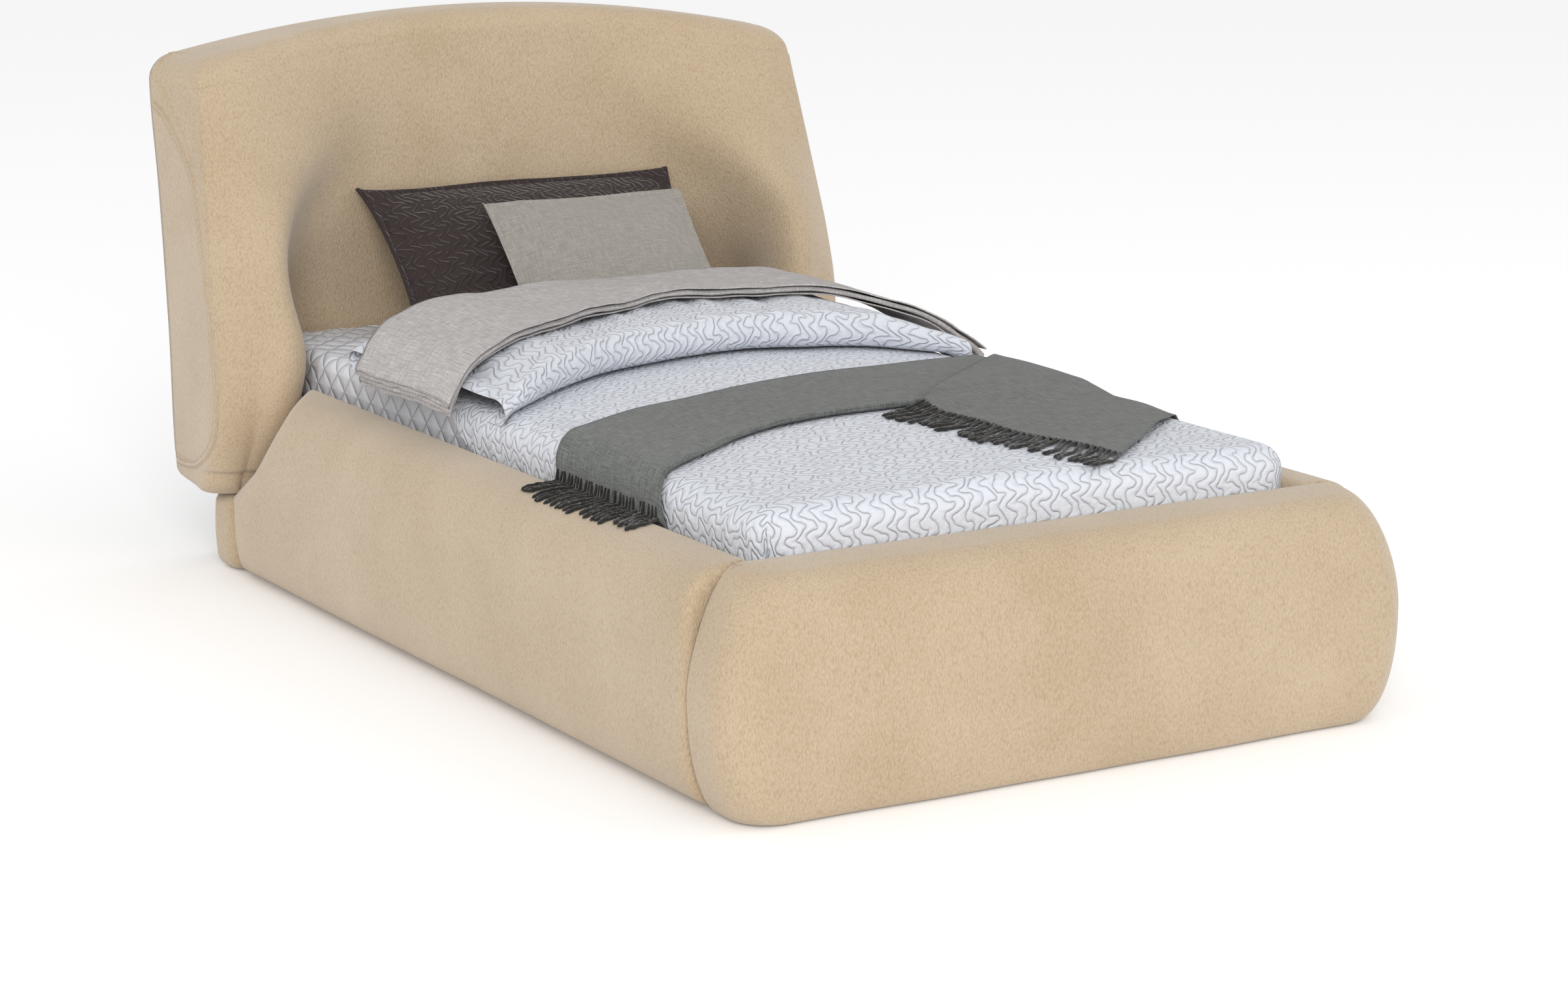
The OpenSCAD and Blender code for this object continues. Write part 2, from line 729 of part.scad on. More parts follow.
// Plan of the blanket: a band bowed towards the head, as [x, distance from the
// mattress's foot] along its front edge and back along its rear edge
blanket_plan = [[-blanket_half, 1060], [-250, 1170], [0, 1250], [250, 1260],
                [blanket_half, 1130], [blanket_half, 1440], [250, 1462], [-200, 1462],
                [-blanket_half, 1400]];
module blanket() {
    color("rosybrown") translate([0, mat_foot, cover_top + fold_t + 0.3])
        linear_extrude(blanket_t) polygon(blanket_plan);
}

throw_t = 8;
// Plan of the throw: a slanting band, and the wide end that is turned back on it
throw_band = [[-cover_x, 400], [0, 560], [cover_x, 600], [cover_x, 900], [0, 840],
              [-cover_x, 660]];
throw_flap = [[130, 530], [170, 60], [470, 290], [cover_x, 650], [cover_x, 880]];
// Throw: the band lies across the coverlet and its left end runs out over the rail
module throw() {
    z0 = cover_top + 0.3;
    drop_y = mat_foot + 330;
    color("darkslategray") {
        translate([0, mat_foot, z0]) linear_extrude(throw_t) polygon(throw_band);
        translate([0, mat_foot, z0]) linear_extrude(2 * throw_t) polygon(throw_flap);
        translate([-cover_x - throw_t, drop_y, rail_h + 0.5])
            cube([throw_t, 330, z0 + throw_t - rail_h - 0.5]);
        translate([-cover_x - 80, drop_y, rail_h + 0.5]) cube([80, 330, throw_t]);
    }
}

// Pillow: two shallow domes over a superelliptic outline; w wide, h tall, t thick
function pillow_ring(w, h, k, z) =
    [for (a = [0:10:350])
        [w / 2 * k * sign(cos(a)) * pow(abs(cos(a)), 0.4),
         h / 2 * k * sign(sin(a)) * pow(abs(sin(a)), 0.4), z]];

module pillow(w, h, t) {
    ring_stack([for (a = [-80:16:80])
        pillow_ring(w, h, 0.35 + 0.65 * pow(cos(a), 0.6), t / 2 * sin(a) / sin(80))]);
}

module pillow_dark() {
    color("dimgray") translate([20, head_y - 293, pad_top + 142])
        rotate([47, 0, 0]) pillow(640, 360, 94);
}

module pillow_light() {
    color("lightgray") translate([80, head_y - 437, pad_top + 130])
        rotate([55, 0, 0]) pillow(430, 300, 76);
}

head_pad();
head_back_panel();
head_top_rail();
head_mid_rail();
head_bottom_rail();
for (side = side_names) {
    head_side_panel(side);
    head_stile(side);
    wing_former(side);
    head_leg(side);
    plinth_pad(side);
    rail_board(side);
    rail_pad(side);
    slat_ledge(side);
    foot_bracket(side);
    head_bracket(side);
}
footboard_board();
footboard_pad();
frame_bolts();
frame_inserts();
centre_beam();
beam_cradle(foot_back, 1);  // beam_cradle_foot
beam_cradle(frame_front, -1);  // beam_cradle_head
floor_glides();
slat_webbing();
wood_screws();
for (i = [1:slat_count])
    slat(i);
for (i = [0:2]) {
    centre_leg(i);
    levelling_foot(i);
}
mattress();
mattress_pad();
coverlet();
blanket();
throw();
pillow_dark();
pillow_light();
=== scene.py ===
import math
import bpy
import bmesh
import numpy as np
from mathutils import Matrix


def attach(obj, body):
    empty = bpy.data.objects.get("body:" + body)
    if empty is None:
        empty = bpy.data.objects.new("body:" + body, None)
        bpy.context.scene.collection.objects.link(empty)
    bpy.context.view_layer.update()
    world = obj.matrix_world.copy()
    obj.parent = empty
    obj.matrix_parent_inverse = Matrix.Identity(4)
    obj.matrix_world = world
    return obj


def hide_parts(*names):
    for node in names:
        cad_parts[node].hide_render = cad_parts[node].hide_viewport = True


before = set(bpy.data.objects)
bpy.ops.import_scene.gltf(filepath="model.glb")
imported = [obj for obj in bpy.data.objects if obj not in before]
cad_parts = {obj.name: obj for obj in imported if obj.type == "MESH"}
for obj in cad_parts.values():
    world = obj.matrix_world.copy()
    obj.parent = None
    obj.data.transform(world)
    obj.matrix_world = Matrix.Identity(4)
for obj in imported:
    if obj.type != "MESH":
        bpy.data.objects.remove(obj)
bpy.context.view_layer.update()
print("frame loaded")
bothSides = (("left", -1.0), ("right", 1.0))
white = (1.0, 1.0, 1.0, 1.0)

# ---- camera, lights and floor
stageSet = {
    "cameraPlace": (-3.2285, -5.7471, 1.6705), "azimuth": -31.546, "tilt": 12.673,
    "lens": 87.67, "sensor": 36.0, "shift": (-0.0652, 0.0176), "sight": 60.0,
    "worldStrength": 0.80, "lampAim": (0.0, -0.1, 0.4), "floorHalf": 30.0,
    "lamps": (("keyLamp", (-8.6, -16.6, 8.4), 8.6, 2150.0),
              ("fillLamp", (3.6, -2.4, 2.6), 2.5, 10.0)),
    "floorPaint": {"Base Color": white, "Roughness": 0.9, "Specular IOR Level": 0.1,
                   "Emission Color": white, "Emission Strength": 0.07},
}


def buildStage(s):
    scene = bpy.context.scene
    scene.view_settings.view_transform = "Standard"
    camData = bpy.data.cameras.new("viewCamera")
    camData.lens = s["lens"]
    camData.sensor_width = s["sensor"]
    camData.shift_x, camData.shift_y = s["shift"]
    camData.clip_end = s["sight"]
    cam = bpy.data.objects.new("viewCamera", camData)
    cam.location = s["cameraPlace"]
    cam.rotation_euler = (math.radians(90.0 - s["tilt"]), 0.0, math.radians(s["azimuth"]))
    scene.collection.objects.link(cam)
    scene.camera = cam
    world = bpy.data.worlds.new("softRoom")
    world.use_nodes = True
    room = world.node_tree.nodes["Background"]
    room.inputs["Color"].default_value = white
    room.inputs["Strength"].default_value = s["worldStrength"]
    scene.world = world
    for name, place, size, watts in s["lamps"]:
        light = bpy.data.lights.new(name, "AREA")
        light.energy = watts
        light.size = size
        lamp = bpy.data.objects.new(name, light)
        lamp.location = place
        aim = np.array(s["lampAim"]) - np.array(place)
        pitch = math.acos(-aim[2] / np.linalg.norm(aim))
        lamp.rotation_euler = (pitch, 0.0, math.atan2(aim[1], aim[0]) - math.pi / 2)
        scene.collection.objects.link(lamp)
    h = s["floorHalf"]
    floorMesh = bpy.data.meshes.new("floor")
    floorMesh.from_pydata([(-h, -h, 0), (h, -h, 0), (h, h, 0), (-h, h, 0)], [], [(0, 1, 2, 3)])
    floor = bpy.data.objects.new("floor", floorMesh)
    scene.collection.objects.link(floor)
    paint = bpy.data.materials.new("floorPaint")
    paint.use_nodes = True
    for key, value in s["floorPaint"].items():
        paint.node_tree.nodes["Principled BSDF"].inputs[key].default_value = value
    floorMesh.materials.append(paint)


buildStage(stageSet)
print("stage built")


# ---- node groups and materials
def newGroup(name, inputs, outputs):
    # a socket's kind follows its default: a number, a vector of 3 or a colour of 4
    kinds = {1: "NodeSocketFloat", 3: "NodeSocketVector", 4: "NodeSocketColor"}
    group = bpy.data.node_groups.new(name, "ShaderNodeTree")
    for label, value in inputs.items():
        socket = group.interface.new_socket(name=label, in_out="INPUT",
                                            socket_type=kinds[np.size(value)])
        socket.default_value = value
    for label in outputs:
        group.interface.new_socket(name=label, in_out="OUTPUT",
                                   socket_type=kinds[4 if label == "Colour" else 1])
    return group, group.nodes.new("NodeGroupInput"), group.nodes.new("NodeGroupOutput")


def feed(tree, slot, value):
    # links a socket, or sets a constant
    if isinstance(value, bpy.types.NodeSocket):
        tree.links.new(value, slot)
    elif value is not None:
        slot.default_value = value


def addNode(tree, kind, *ordered, **named):
    # lower-case names are the node's settings; the others are inputs, _ for a space
    node = tree.nodes.new("ShaderNode" + kind)
    for key, value in named.items():
        if key[0].islower():
            setattr(node, key, value)
        else:
            feed(tree, node.inputs[key.replace("_", " ")], value)
    for slot, value in zip(node.inputs, ordered):
        feed(tree, slot, value)
    return node


def mathNode(tree, op, a, b=None):
    return addNode(tree, "Math", a, b, operation=op).outputs[0]


def times(tree, a, b):
    return mathNode(tree, "MULTIPLY", a, b)


def plus(tree, a, b):
    return mathNode(tree, "ADD", a, b)


def sine(tree, a):
    return mathNode(tree, "SINE", a)


def mixColour(tree, factor, a, b):
    node = addNode(tree, "Mix", data_type="RGBA", Factor=factor)
    feed(tree, node.inputs[6], a)
    feed(tree, node.inputs[7], b)
    return node.outputs[2]


def giveOut(tree, end, **values):
    for key, value in values.items():
        tree.links.new(value, end.inputs[key])
    return tree


twoTints = {"Vector": (0, 0, 0), "Light": white, "Dark": (0, 0, 0, 1)}


def buildPileGroup():
    # short brushed pile: stretched cells and fine fibres make the height; the tint follows the
    # height, darker where it sinks between tufts (painted shade), and a slow wander of the
    # brushing direction (painted sheen)
    g, a, z = newGroup("brushedPile", {**twoTints, "Cells": 150.0}, ("Colour", "Height"))
    place = a.outputs["Vector"]
    flat = addNode(g, "Mapping", Vector=place, Scale=(1.0, 1.0, 0.42)).outputs[0]
    bend = addNode(g, "TexNoise", Vector=flat, Scale=60.0, Detail=2.0)
    warp = addNode(g, "VectorMath", bend.outputs["Color"], (0.003, 0.003, 0.003), flat,
                   operation="MULTIPLY_ADD").outputs[0]
    tufts = addNode(g, "TexVoronoi", feature="SMOOTH_F1", Vector=warp, Smoothness=0.6,
                    Scale=a.outputs["Cells"])
    fibres = addNode(g, "TexNoise", Vector=warp, Scale=620.0, Detail=3.0, Roughness=0.65)
    # slow patches of painted sheen, lighter and darker as brushed nap would catch the light
    napSheenPatches = addNode(g, "TexNoise", Vector=place, Scale=5.0, Detail=2.0)
    crown = mathNode(g, "SUBTRACT", 1.0, times(g, tufts.outputs["Distance"], 1.1))
    height = plus(g, times(g, crown, 0.62), times(g, fibres.outputs["Fac"], 0.38))
    # tint level: painted shade in the dips between tufts, the fibres' own tone, and the painted
    # sheen patches
    toneShadeAndSheen = plus(g, height, times(g, napSheenPatches.outputs["Fac"], 0.5))
    spread = addNode(g, "MapRange", Value=toneShadeAndSheen, From_Min=0.45, From_Max=1.10)
    tint = mixColour(g, spread.outputs[0], a.outputs["Dark"], a.outputs["Light"])
    return giveOut(g, z, Colour=tint, Height=height)


def buildWeaveGroup():
    # plain or twill weave: two crossed waves along the cloth's own directions, uneven
    # slubs along the threads; the tint follows both: the slubs' own thread-to-thread tone, and
    # painted shade where threads dip
    g, a, z = newGroup("threadWeave", {**twoTints, "Threads": 500.0, "Twill": 0.0, "Slub": 0.5},
                       ("Colour", "Height"))
    parts = addNode(g, "SeparateXYZ", a.outputs["Vector"])
    across = times(g, parts.outputs[0], a.outputs["Threads"])
    along = times(g, parts.outputs[1], a.outputs["Threads"])
    lean = plus(g, across, times(g, along, a.outputs["Twill"]))
    waves = plus(g, sine(g, times(g, lean, 6.283)), sine(g, times(g, along, 6.283)))
    threads = []
    for scale in ((1.0, 0.08, 1.0), (0.08, 1.0, 1.0)):
        drawn = addNode(g, "Mapping", Vector=a.outputs["Vector"], Scale=scale)
        noise = addNode(g, "TexNoise", Vector=drawn.outputs[0], Scale=420.0, Detail=2.0)
        threads.append(noise.outputs["Fac"])
    slubs = mathNode(g, "SUBTRACT", plus(g, *threads), 1.0)
    rough = times(g, slubs, times(g, a.outputs["Slub"], 3.0))
    height = plus(g, times(g, waves, 0.22), rough)
    # darker where the weave dips between threads: painted shade; the slub part is the yarn's own
    # tone
    dipShadeAndSlubMask = addNode(g, "MapRange", Value=height, From_Min=-0.55, From_Max=0.75)
    tint = mixColour(g, dipShadeAndSlubMask.outputs[0], a.outputs["Dark"], a.outputs["Light"])
    return giveOut(g, z, Colour=tint, Height=height)


def buildQuiltGroup():
    # meandering stitch lines: parallel lines bent by sine waves across and along the
    # cloth until they read as interlocked tongues, sunk into cloth that swells between
    g, a, z = newGroup("meanderQuilt", {"Vector": (0, 0, 0), "Lines": 48.0, "Waves": 25.0,
                                        "Bend": 0.0095}, ("Height", "Stitch"))
    place = a.outputs["Vector"]
    wander = addNode(g, "TexNoise", noise_dimensions="2D", Vector=place, Scale=30.0,
                     Detail=1.0)
    shift = addNode(g, "VectorMath", wander.outputs["Color"], (0.024, 0.024, 0.0), place,
                    operation="MULTIPLY_ADD")
    parts = addNode(g, "SeparateXYZ", shift.outputs[0])
    turns = times(g, times(g, parts.outputs[1], a.outputs["Waves"]), 6.2832)
    twist = times(g, times(g, parts.outputs[0], a.outputs["Waves"]), 3.1416)
    bent = sine(g, plus(g, turns, times(g, sine(g, twist), 0.6)))
    across = plus(g, parts.outputs[0], times(g, bent, a.outputs["Bend"]))
    phase = times(g, times(g, across, a.outputs["Lines"]), 3.1416)
    off = mathNode(g, "ABSOLUTE", sine(g, phase))
    crush = addNode(g, "TexNoise", noise_dimensions="2D", Vector=place, Scale=120.0,
                    Detail=3.0)
    height = plus(g, mathNode(g, "POWER", off, 0.5), times(g, crush.outputs["Fac"], 0.45))
    # mask along the sunk stitch lines, used only to darken the colour there: painted shade in the
    # grooves
    grooveShade = addNode(g, "MapRange", Value=off, From_Min=0.22, From_Max=0.02)
    return giveOut(g, z, Height=height, Stitch=grooveShade.outputs[0])


def buildDiamondGroup():
    # two families of straight stitch lines that cross as diamonds, cloth swelling between
    g, a, z = newGroup("diamondQuilt", {"Vector": (0, 0, 0), "Cells": 14.0},
                       ("Height", "Stitch"))
    parts = addNode(g, "SeparateXYZ", a.outputs["Vector"])
    lines = []
    for sign in (1.0, -1.0):
        lean = plus(g, parts.outputs[0], times(g, parts.outputs[1], sign))
        turns = times(g, times(g, lean, a.outputs["Cells"]), 3.1416)
        lines.append(mathNode(g, "ABSOLUTE", sine(g, turns)))
    near = mathNode(g, "MINIMUM", *lines)
    # mask along the sunk stitch lines, used only to darken the colour there: painted shade in the
    # grooves
    grooveShade = addNode(g, "MapRange", Value=near, From_Min=0.10, From_Max=0.0)
    return giveOut(g, z, Height=mathNode(g, "POWER", near, 0.5), Stitch=grooveShade.outputs[0])


def buildGrainGroup():
    # long grain: noise stretched along the board, with fine pores
    g, a, z = newGroup("timberGrain", {**twoTints, "Rings": 14.0}, ("Colour", "Height"))
    wobble = addNode(g, "TexNoise", Vector=a.outputs["Vector"], Scale=a.outputs["Rings"],
                     Detail=4.0, Roughness=0.6)
    bands = mathNode(g, "FRACT", times(g, wobble.outputs["Fac"], 9.0))
    pores = addNode(g, "TexNoise", Vector=a.outputs["Vector"], Scale=160.0, Detail=2.0)
    height = plus(g, times(g, bands, 0.6), times(g, pores.outputs["Fac"], 0.5))
    tint = mixColour(g, height, a.outputs["Dark"], a.outputs["Light"])
    return giveOut(g, z, Colour=tint, Height=height)


pileGroup, weaveGroup, grainGroup = buildPileGroup(), buildWeaveGroup(), buildGrainGroup()
quiltGroup, diamondGroup = buildQuiltGroup(), buildDiamondGroup()


def startMaterial(name, roughness, sheen=0.0, metallic=0.0, useUv=False, stretch=None):
    mat = bpy.data.materials.new(name)
    mat.use_nodes = True
    tree = mat.node_tree
    shader = tree.nodes["Principled BSDF"]
    constants = {"Roughness": roughness, "Metallic": metallic, "Sheen Weight": sheen,
                 "Sheen Roughness": 0.45}
    if metallic == 0.0:
        constants["Specular IOR Level"] = 0.25
    for key, value in constants.items():
        shader.inputs[key].default_value = value
    place = tree.nodes.new("ShaderNodeTexCoord").outputs["UV" if useUv else "Object"]
    if stretch is not None:
        place = addNode(tree, "Mapping", Vector=place, Scale=stretch).outputs[0]
    return mat, tree, shader, place


def putGroup(tree, group, place, values):
    node = tree.nodes.new("ShaderNodeGroup")
    node.node_tree = group
    tree.links.new(place, node.inputs["Vector"])
    for key, value in values.items():
        node.inputs[key].default_value = value
    return node


def dress(tree, shader, colour, height, depth):
    tree.links.new(colour, shader.inputs["Base Color"])
    bump = addNode(tree, "Bump", Strength=1.0, Distance=depth, Height=height)
    tree.links.new(bump.outputs["Normal"], shader.inputs["Normal"])


def groupMaterial(name, group, values, depth, roughness, **more):
    mat, tree, shader, place = startMaterial(name, roughness, **more)
    node = putGroup(tree, group, place, values)
    dress(tree, shader, node.outputs["Colour"], node.outputs["Height"], depth)
    return mat


def quiltMaterial(name, light, dark, group, counts, depth, sheen):
    # fine woven cloth, darkened along the sunk stitch lines of a quilting: painted shade in the
    # grooves
    mat, tree, shader, place = startMaterial(name, 0.85, sheen=sheen, useUv=True)
    quilt = putGroup(tree, group, place, counts)
    weave = putGroup(tree, weaveGroup, place, {
        "Light": light, "Dark": tuple(0.93 * c for c in light[:3]) + (1.0,),
        "Threads": 900.0, "Slub": 0.3})
    # the darker colour laid along the stitch mask is painted shade in the stitch grooves
    tint = mixColour(tree, quilt.outputs["Stitch"], weave.outputs["Colour"], dark)
    dress(tree, shader, tint, quilt.outputs["Height"], depth)
    return mat


def hardMaterial(name, colour, roughness, metallic, depth=0.0002):
    # brushed or moulded surface: fine noise in colour, roughness and height
    mat, tree, shader, place = startMaterial(name, roughness, metallic=metallic)
    noise = addNode(tree, "TexNoise", Vector=place, Scale=240.0, Detail=3.0).outputs["Fac"]
    dark = tuple(0.72 * c for c in colour[:3]) + (1.0,)
    spread = addNode(tree, "MapRange", Value=noise, To_Min=roughness - 0.08,
                     To_Max=roughness + 0.08)
    tree.links.new(spread.outputs[0], shader.inputs["Roughness"])
    dress(tree, shader, mixColour(tree, noise, dark, colour), noise, depth)
    return mat


# finish: group, its values, bump depth, roughness, and the rest of the surface
groupFinishes = {
    "camelPile": (pileGroup, {"Light": (0.55, 0.44, 0.315, 1), "Dark": (0.40, 0.30, 0.19, 1),
                              "Cells": 400.0}, 0.0016, 0.95, {"sheen": 0.35}),
    "backCloth": (weaveGroup, {"Light": (0.10, 0.09, 0.08, 1), "Dark": (0.05, 0.045, 0.04, 1),
                               "Threads": 300.0}, 0.0004, 0.9, {}),
    "pineTimber": (grainGroup, {"Light": (0.62, 0.43, 0.24, 1), "Dark": (0.44, 0.27, 0.12, 1),
                                "Rings": 9.0}, 0.0003, 0.6, {"stretch": (0.25, 1.4, 1.4)}),
    "birchPly": (grainGroup, {"Light": (0.68, 0.52, 0.33, 1), "Dark": (0.55, 0.38, 0.21, 1),
                              "Rings": 7.0}, 0.0002, 0.55, {"stretch": (0.22, 1.5, 1.5)}),
    "webbing": (weaveGroup, {"Light": (0.78, 0.75, 0.66, 1), "Dark": (0.58, 0.54, 0.45, 1),
                             "Threads": 260.0}, 0.0006, 0.85, {}),
    "ticking": (weaveGroup, {"Light": (0.80, 0.79, 0.76, 1), "Dark": (0.66, 0.65, 0.62, 1),
                             "Threads": 420.0}, 0.0004, 0.85, {}),
    "slubLinen": (weaveGroup, {"Light": (0.60, 0.575, 0.565, 1), "Dark": (0.38, 0.35, 0.34, 1),
                               "Threads": 520.0, "Slub": 0.9}, 0.0009, 0.9,
                  {"sheen": 0.2, "useUv": True}),
    "twillWool": (weaveGroup, {"Light": (0.175, 0.186, 0.175, 1),
                               "Dark": (0.074, 0.078, 0.073, 1), "Threads": 300.0,
                               "Twill": 1.0, "Slub": 0.8}, 0.0010, 0.9,
                  {"sheen": 0.22, "useUv": True}),
    "fringeYarn": (pileGroup, {"Light": (0.040, 0.037, 0.033, 1),
                               "Dark": (0.012, 0.011, 0.010, 1), "Cells": 700.0},
                   0.0008, 0.95, {"sheen": 0.3}),
    "cushionLinen": (weaveGroup, {"Light": (0.38, 0.355, 0.32, 1),
                                  "Dark": (0.26, 0.24, 0.212, 1), "Threads": 480.0,
                                  "Slub": 0.7}, 0.0008, 0.9, {"sheen": 0.2, "useUv": True}),
}
# finish: cloth colour, stitch colour (painted shade in the sunk stitch lines), group, its values,
# bump depth, sheen
quiltFinishes = {
    "padCotton": ((0.66, 0.67, 0.71, 1), (0.50, 0.51, 0.56, 1), diamondGroup,
                  {"Cells": 17.0}, 0.006, 0.1),
    "coverletCotton": ((0.66, 0.68, 0.73, 1), (0.56, 0.58, 0.64, 1), quiltGroup,
                       {"Lines": 50.0}, 0.0034, 0.12),
    "shamSatin": ((0.036, 0.024, 0.023, 1), (0.018, 0.013, 0.013, 1), quiltGroup,
                  {"Lines": 54.0}, 0.0040, 0.18),
}
# finish: colour, roughness, metallic, and a bump depth where it isn't the usual one
hardFinishes = {
    "zincSteel": ((0.62, 0.63, 0.65, 1), 0.36, 1.0),
    "blackSteel": ((0.035, 0.035, 0.037, 1), 0.45, 0.3),
    "brass": ((0.72, 0.50, 0.22, 1), 0.34, 1.0),
    "footPlastic": ((0.03, 0.03, 0.03, 1), 0.55, 0.0, 0.0004),
    "glidePlastic": ((0.12, 0.11, 0.10, 1), 0.5, 0.0, 0.0004),
}
finishes = {name: groupMaterial(name, *row[:4], **row[4]) for name, row in groupFinishes.items()}
finishes.update({name: quiltMaterial(name, *row) for name, row in quiltFinishes.items()})
finishes.update({name: hardMaterial(name, *row) for name, row in hardFinishes.items()})
print("materials built")


# ---- mesh helpers
def gridQuads(rows, cols, wrapRows=False, wrapCols=False, start=0):
    # indices of the quads of a rows x cols grid, closed round where asked
    r = np.arange(rows if wrapRows else rows - 1)[:, None]
    c = np.arange(cols if wrapCols else cols - 1)[None, :]
    r2 = (r + 1) % rows
    c2 = (c + 1) % cols
    quads = np.stack([r * cols + c, r * cols + c2, r2 * cols + c2, r2 * cols + c], -1)
    return quads.reshape(-1, 4) + start


def gridPart(points, uv=None, wrapRows=False, wrapCols=False, keep=None):
    return {"points": points, "uv": uv, "wrapRows": wrapRows, "wrapCols": wrapCols,
            "keep": keep}


def makePiece(name, parts, finish, body, stands=(), weld=2e-5, outward=True,
              marks=None):
    # several grids in one mesh: their vertices and quads one after another, vertices
    # without a quad left out, doubles merged
    verts, quads, uvs, base = [], [], [], 0
    for part in parts:
        rows, cols = part["points"].shape[:2]
        q = gridQuads(rows, cols, part["wrapRows"], part["wrapCols"], base)
        quads.append(q if part["keep"] is None else q[part["keep"].ravel()])
        verts.append(part["points"].reshape(-1, 3))
        uv = np.zeros((rows, cols, 2)) if part["uv"] is None else part["uv"]
        uvs.append(uv.reshape(-1, 2))
        base += rows * cols
    quads = np.concatenate(quads)
    used = np.unique(quads)
    quads = np.searchsorted(used, quads)
    verts, uvs = np.concatenate(verts)[used], np.concatenate(uvs)[used]
    mesh = bpy.data.meshes.new(name)
    mesh.vertices.add(len(verts))
    mesh.vertices.foreach_set("co", verts.astype(np.float32).ravel())
    mesh.loops.add(quads.size)
    mesh.loops.foreach_set("vertex_index", quads.astype(np.int32).ravel())
    mesh.polygons.add(len(quads))
    mesh.polygons.foreach_set("loop_start", np.arange(0, quads.size, 4, dtype=np.int32))
    layer = mesh.uv_layers.new(name="UVMap")
    layer.data.foreach_set("uv", uvs[quads.ravel()].astype(np.float32).ravel())
    if marks is not None:
        mark = mesh.attributes.new("border", "FLOAT", "POINT")
        mark.data.foreach_set("value", marks[used].astype(np.float32).ravel())
    mesh.update(calc_edges=True)
    bm = bmesh.new()
    bm.from_mesh(mesh)
    bmesh.ops.remove_doubles(bm, verts=bm.verts, dist=weld)
    if outward:
        bmesh.ops.recalc_face_normals(bm, faces=bm.faces)
    bm.to_mesh(mesh)
    bm.free()
    mesh.polygons.foreach_set("use_smooth", np.ones(len(mesh.polygons), bool))
    mesh.materials.append(finishes[finish])
    piece = bpy.data.objects.new(name, mesh)
    bpy.context.scene.collection.objects.link(piece)
    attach(piece, body)
    if stands:
        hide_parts(*stands)
    return piece


def thicken(piece, thickness, offset=0.0):
    shell = piece.modifiers.new("thickness", "SOLIDIFY")
    shell.thickness = thickness
    shell.offset = offset


def readPoints(mesh):
    points = np.empty(len(mesh.vertices) * 3, np.float32)
    mesh.vertices.foreach_get("co", points)
    return points.reshape(-1, 3)


def unit(v):
    return v / np.maximum(np.linalg.norm(v, axis=-1, keepdims=True), 1e-12)


def runLength(points):
    # distance run along a path, from zero at its start
    steps = np.linalg.norm(np.diff(points, axis=0), axis=1)
    return np.concatenate([[0], np.cumsum(steps)])


def smoothCurve(at, xs, ys, taps):
    # the table's value at each place, averaged over an odd number of neighbours
    rough = np.pad(np.interp(at, xs, ys), taps // 2, "edge")
    return np.convolve(rough, np.ones(taps) / taps, "valid")


def sweepTube(path, radius, sides, closed=False, lobes=0, twist=0.0, up=(0, 0, 1)):
    # circle of a radius (one number or one per ring) carried along a path, in the plane
    # across the path; lobes and twist turn it into plied yarn
    ahead = np.roll(path, -1, 0) - np.roll(path, 1, 0)
    if not closed:
        ahead[0] = path[1] - path[0]
        ahead[-1] = path[-1] - path[-2]
    t = unit(ahead)
    side = unit(np.cross(t, np.array(up, float)))
    top = np.cross(side, t)
    turn = np.linspace(0, 2 * np.pi, sides, endpoint=False)
    ring = np.ones((len(path), sides)) * np.reshape(radius, (-1, 1))
    if lobes:
        spin = twist * np.linspace(0, 1, len(path))[:, None]
        ring = ring * (1 + 0.30 * np.cos(lobes * (turn[None, :] - spin)))
    return (path[:, None, :] + ring[..., None] * (np.cos(turn)[None, :, None] * side[:, None, :]
            + np.sin(turn)[None, :, None] * top[:, None, :]))


def mirrored(points):
    return points * np.array([-1.0, 1.0, 1.0])


def wholeWidth(half):
    # right half of a grid and its mirror image, sharing the middle column
    return np.concatenate([half, mirrored(half)[:, -2::-1]], 1)


def ripple(x, y, seed, count, low, high, size):
    # sum of sine waves in random directions, with wavelengths between low and high
    r = np.random.default_rng(seed)
    total = 0.0
    for k in range(count):
        angle = r.uniform(0, np.pi)
        wave = 2 * np.pi / r.uniform(low, high)
        total = total + np.sin(wave * (np.cos(angle) * x + np.sin(angle) * y)
                               + r.uniform(0, 6.28))
    return size * total / math.sqrt(count)


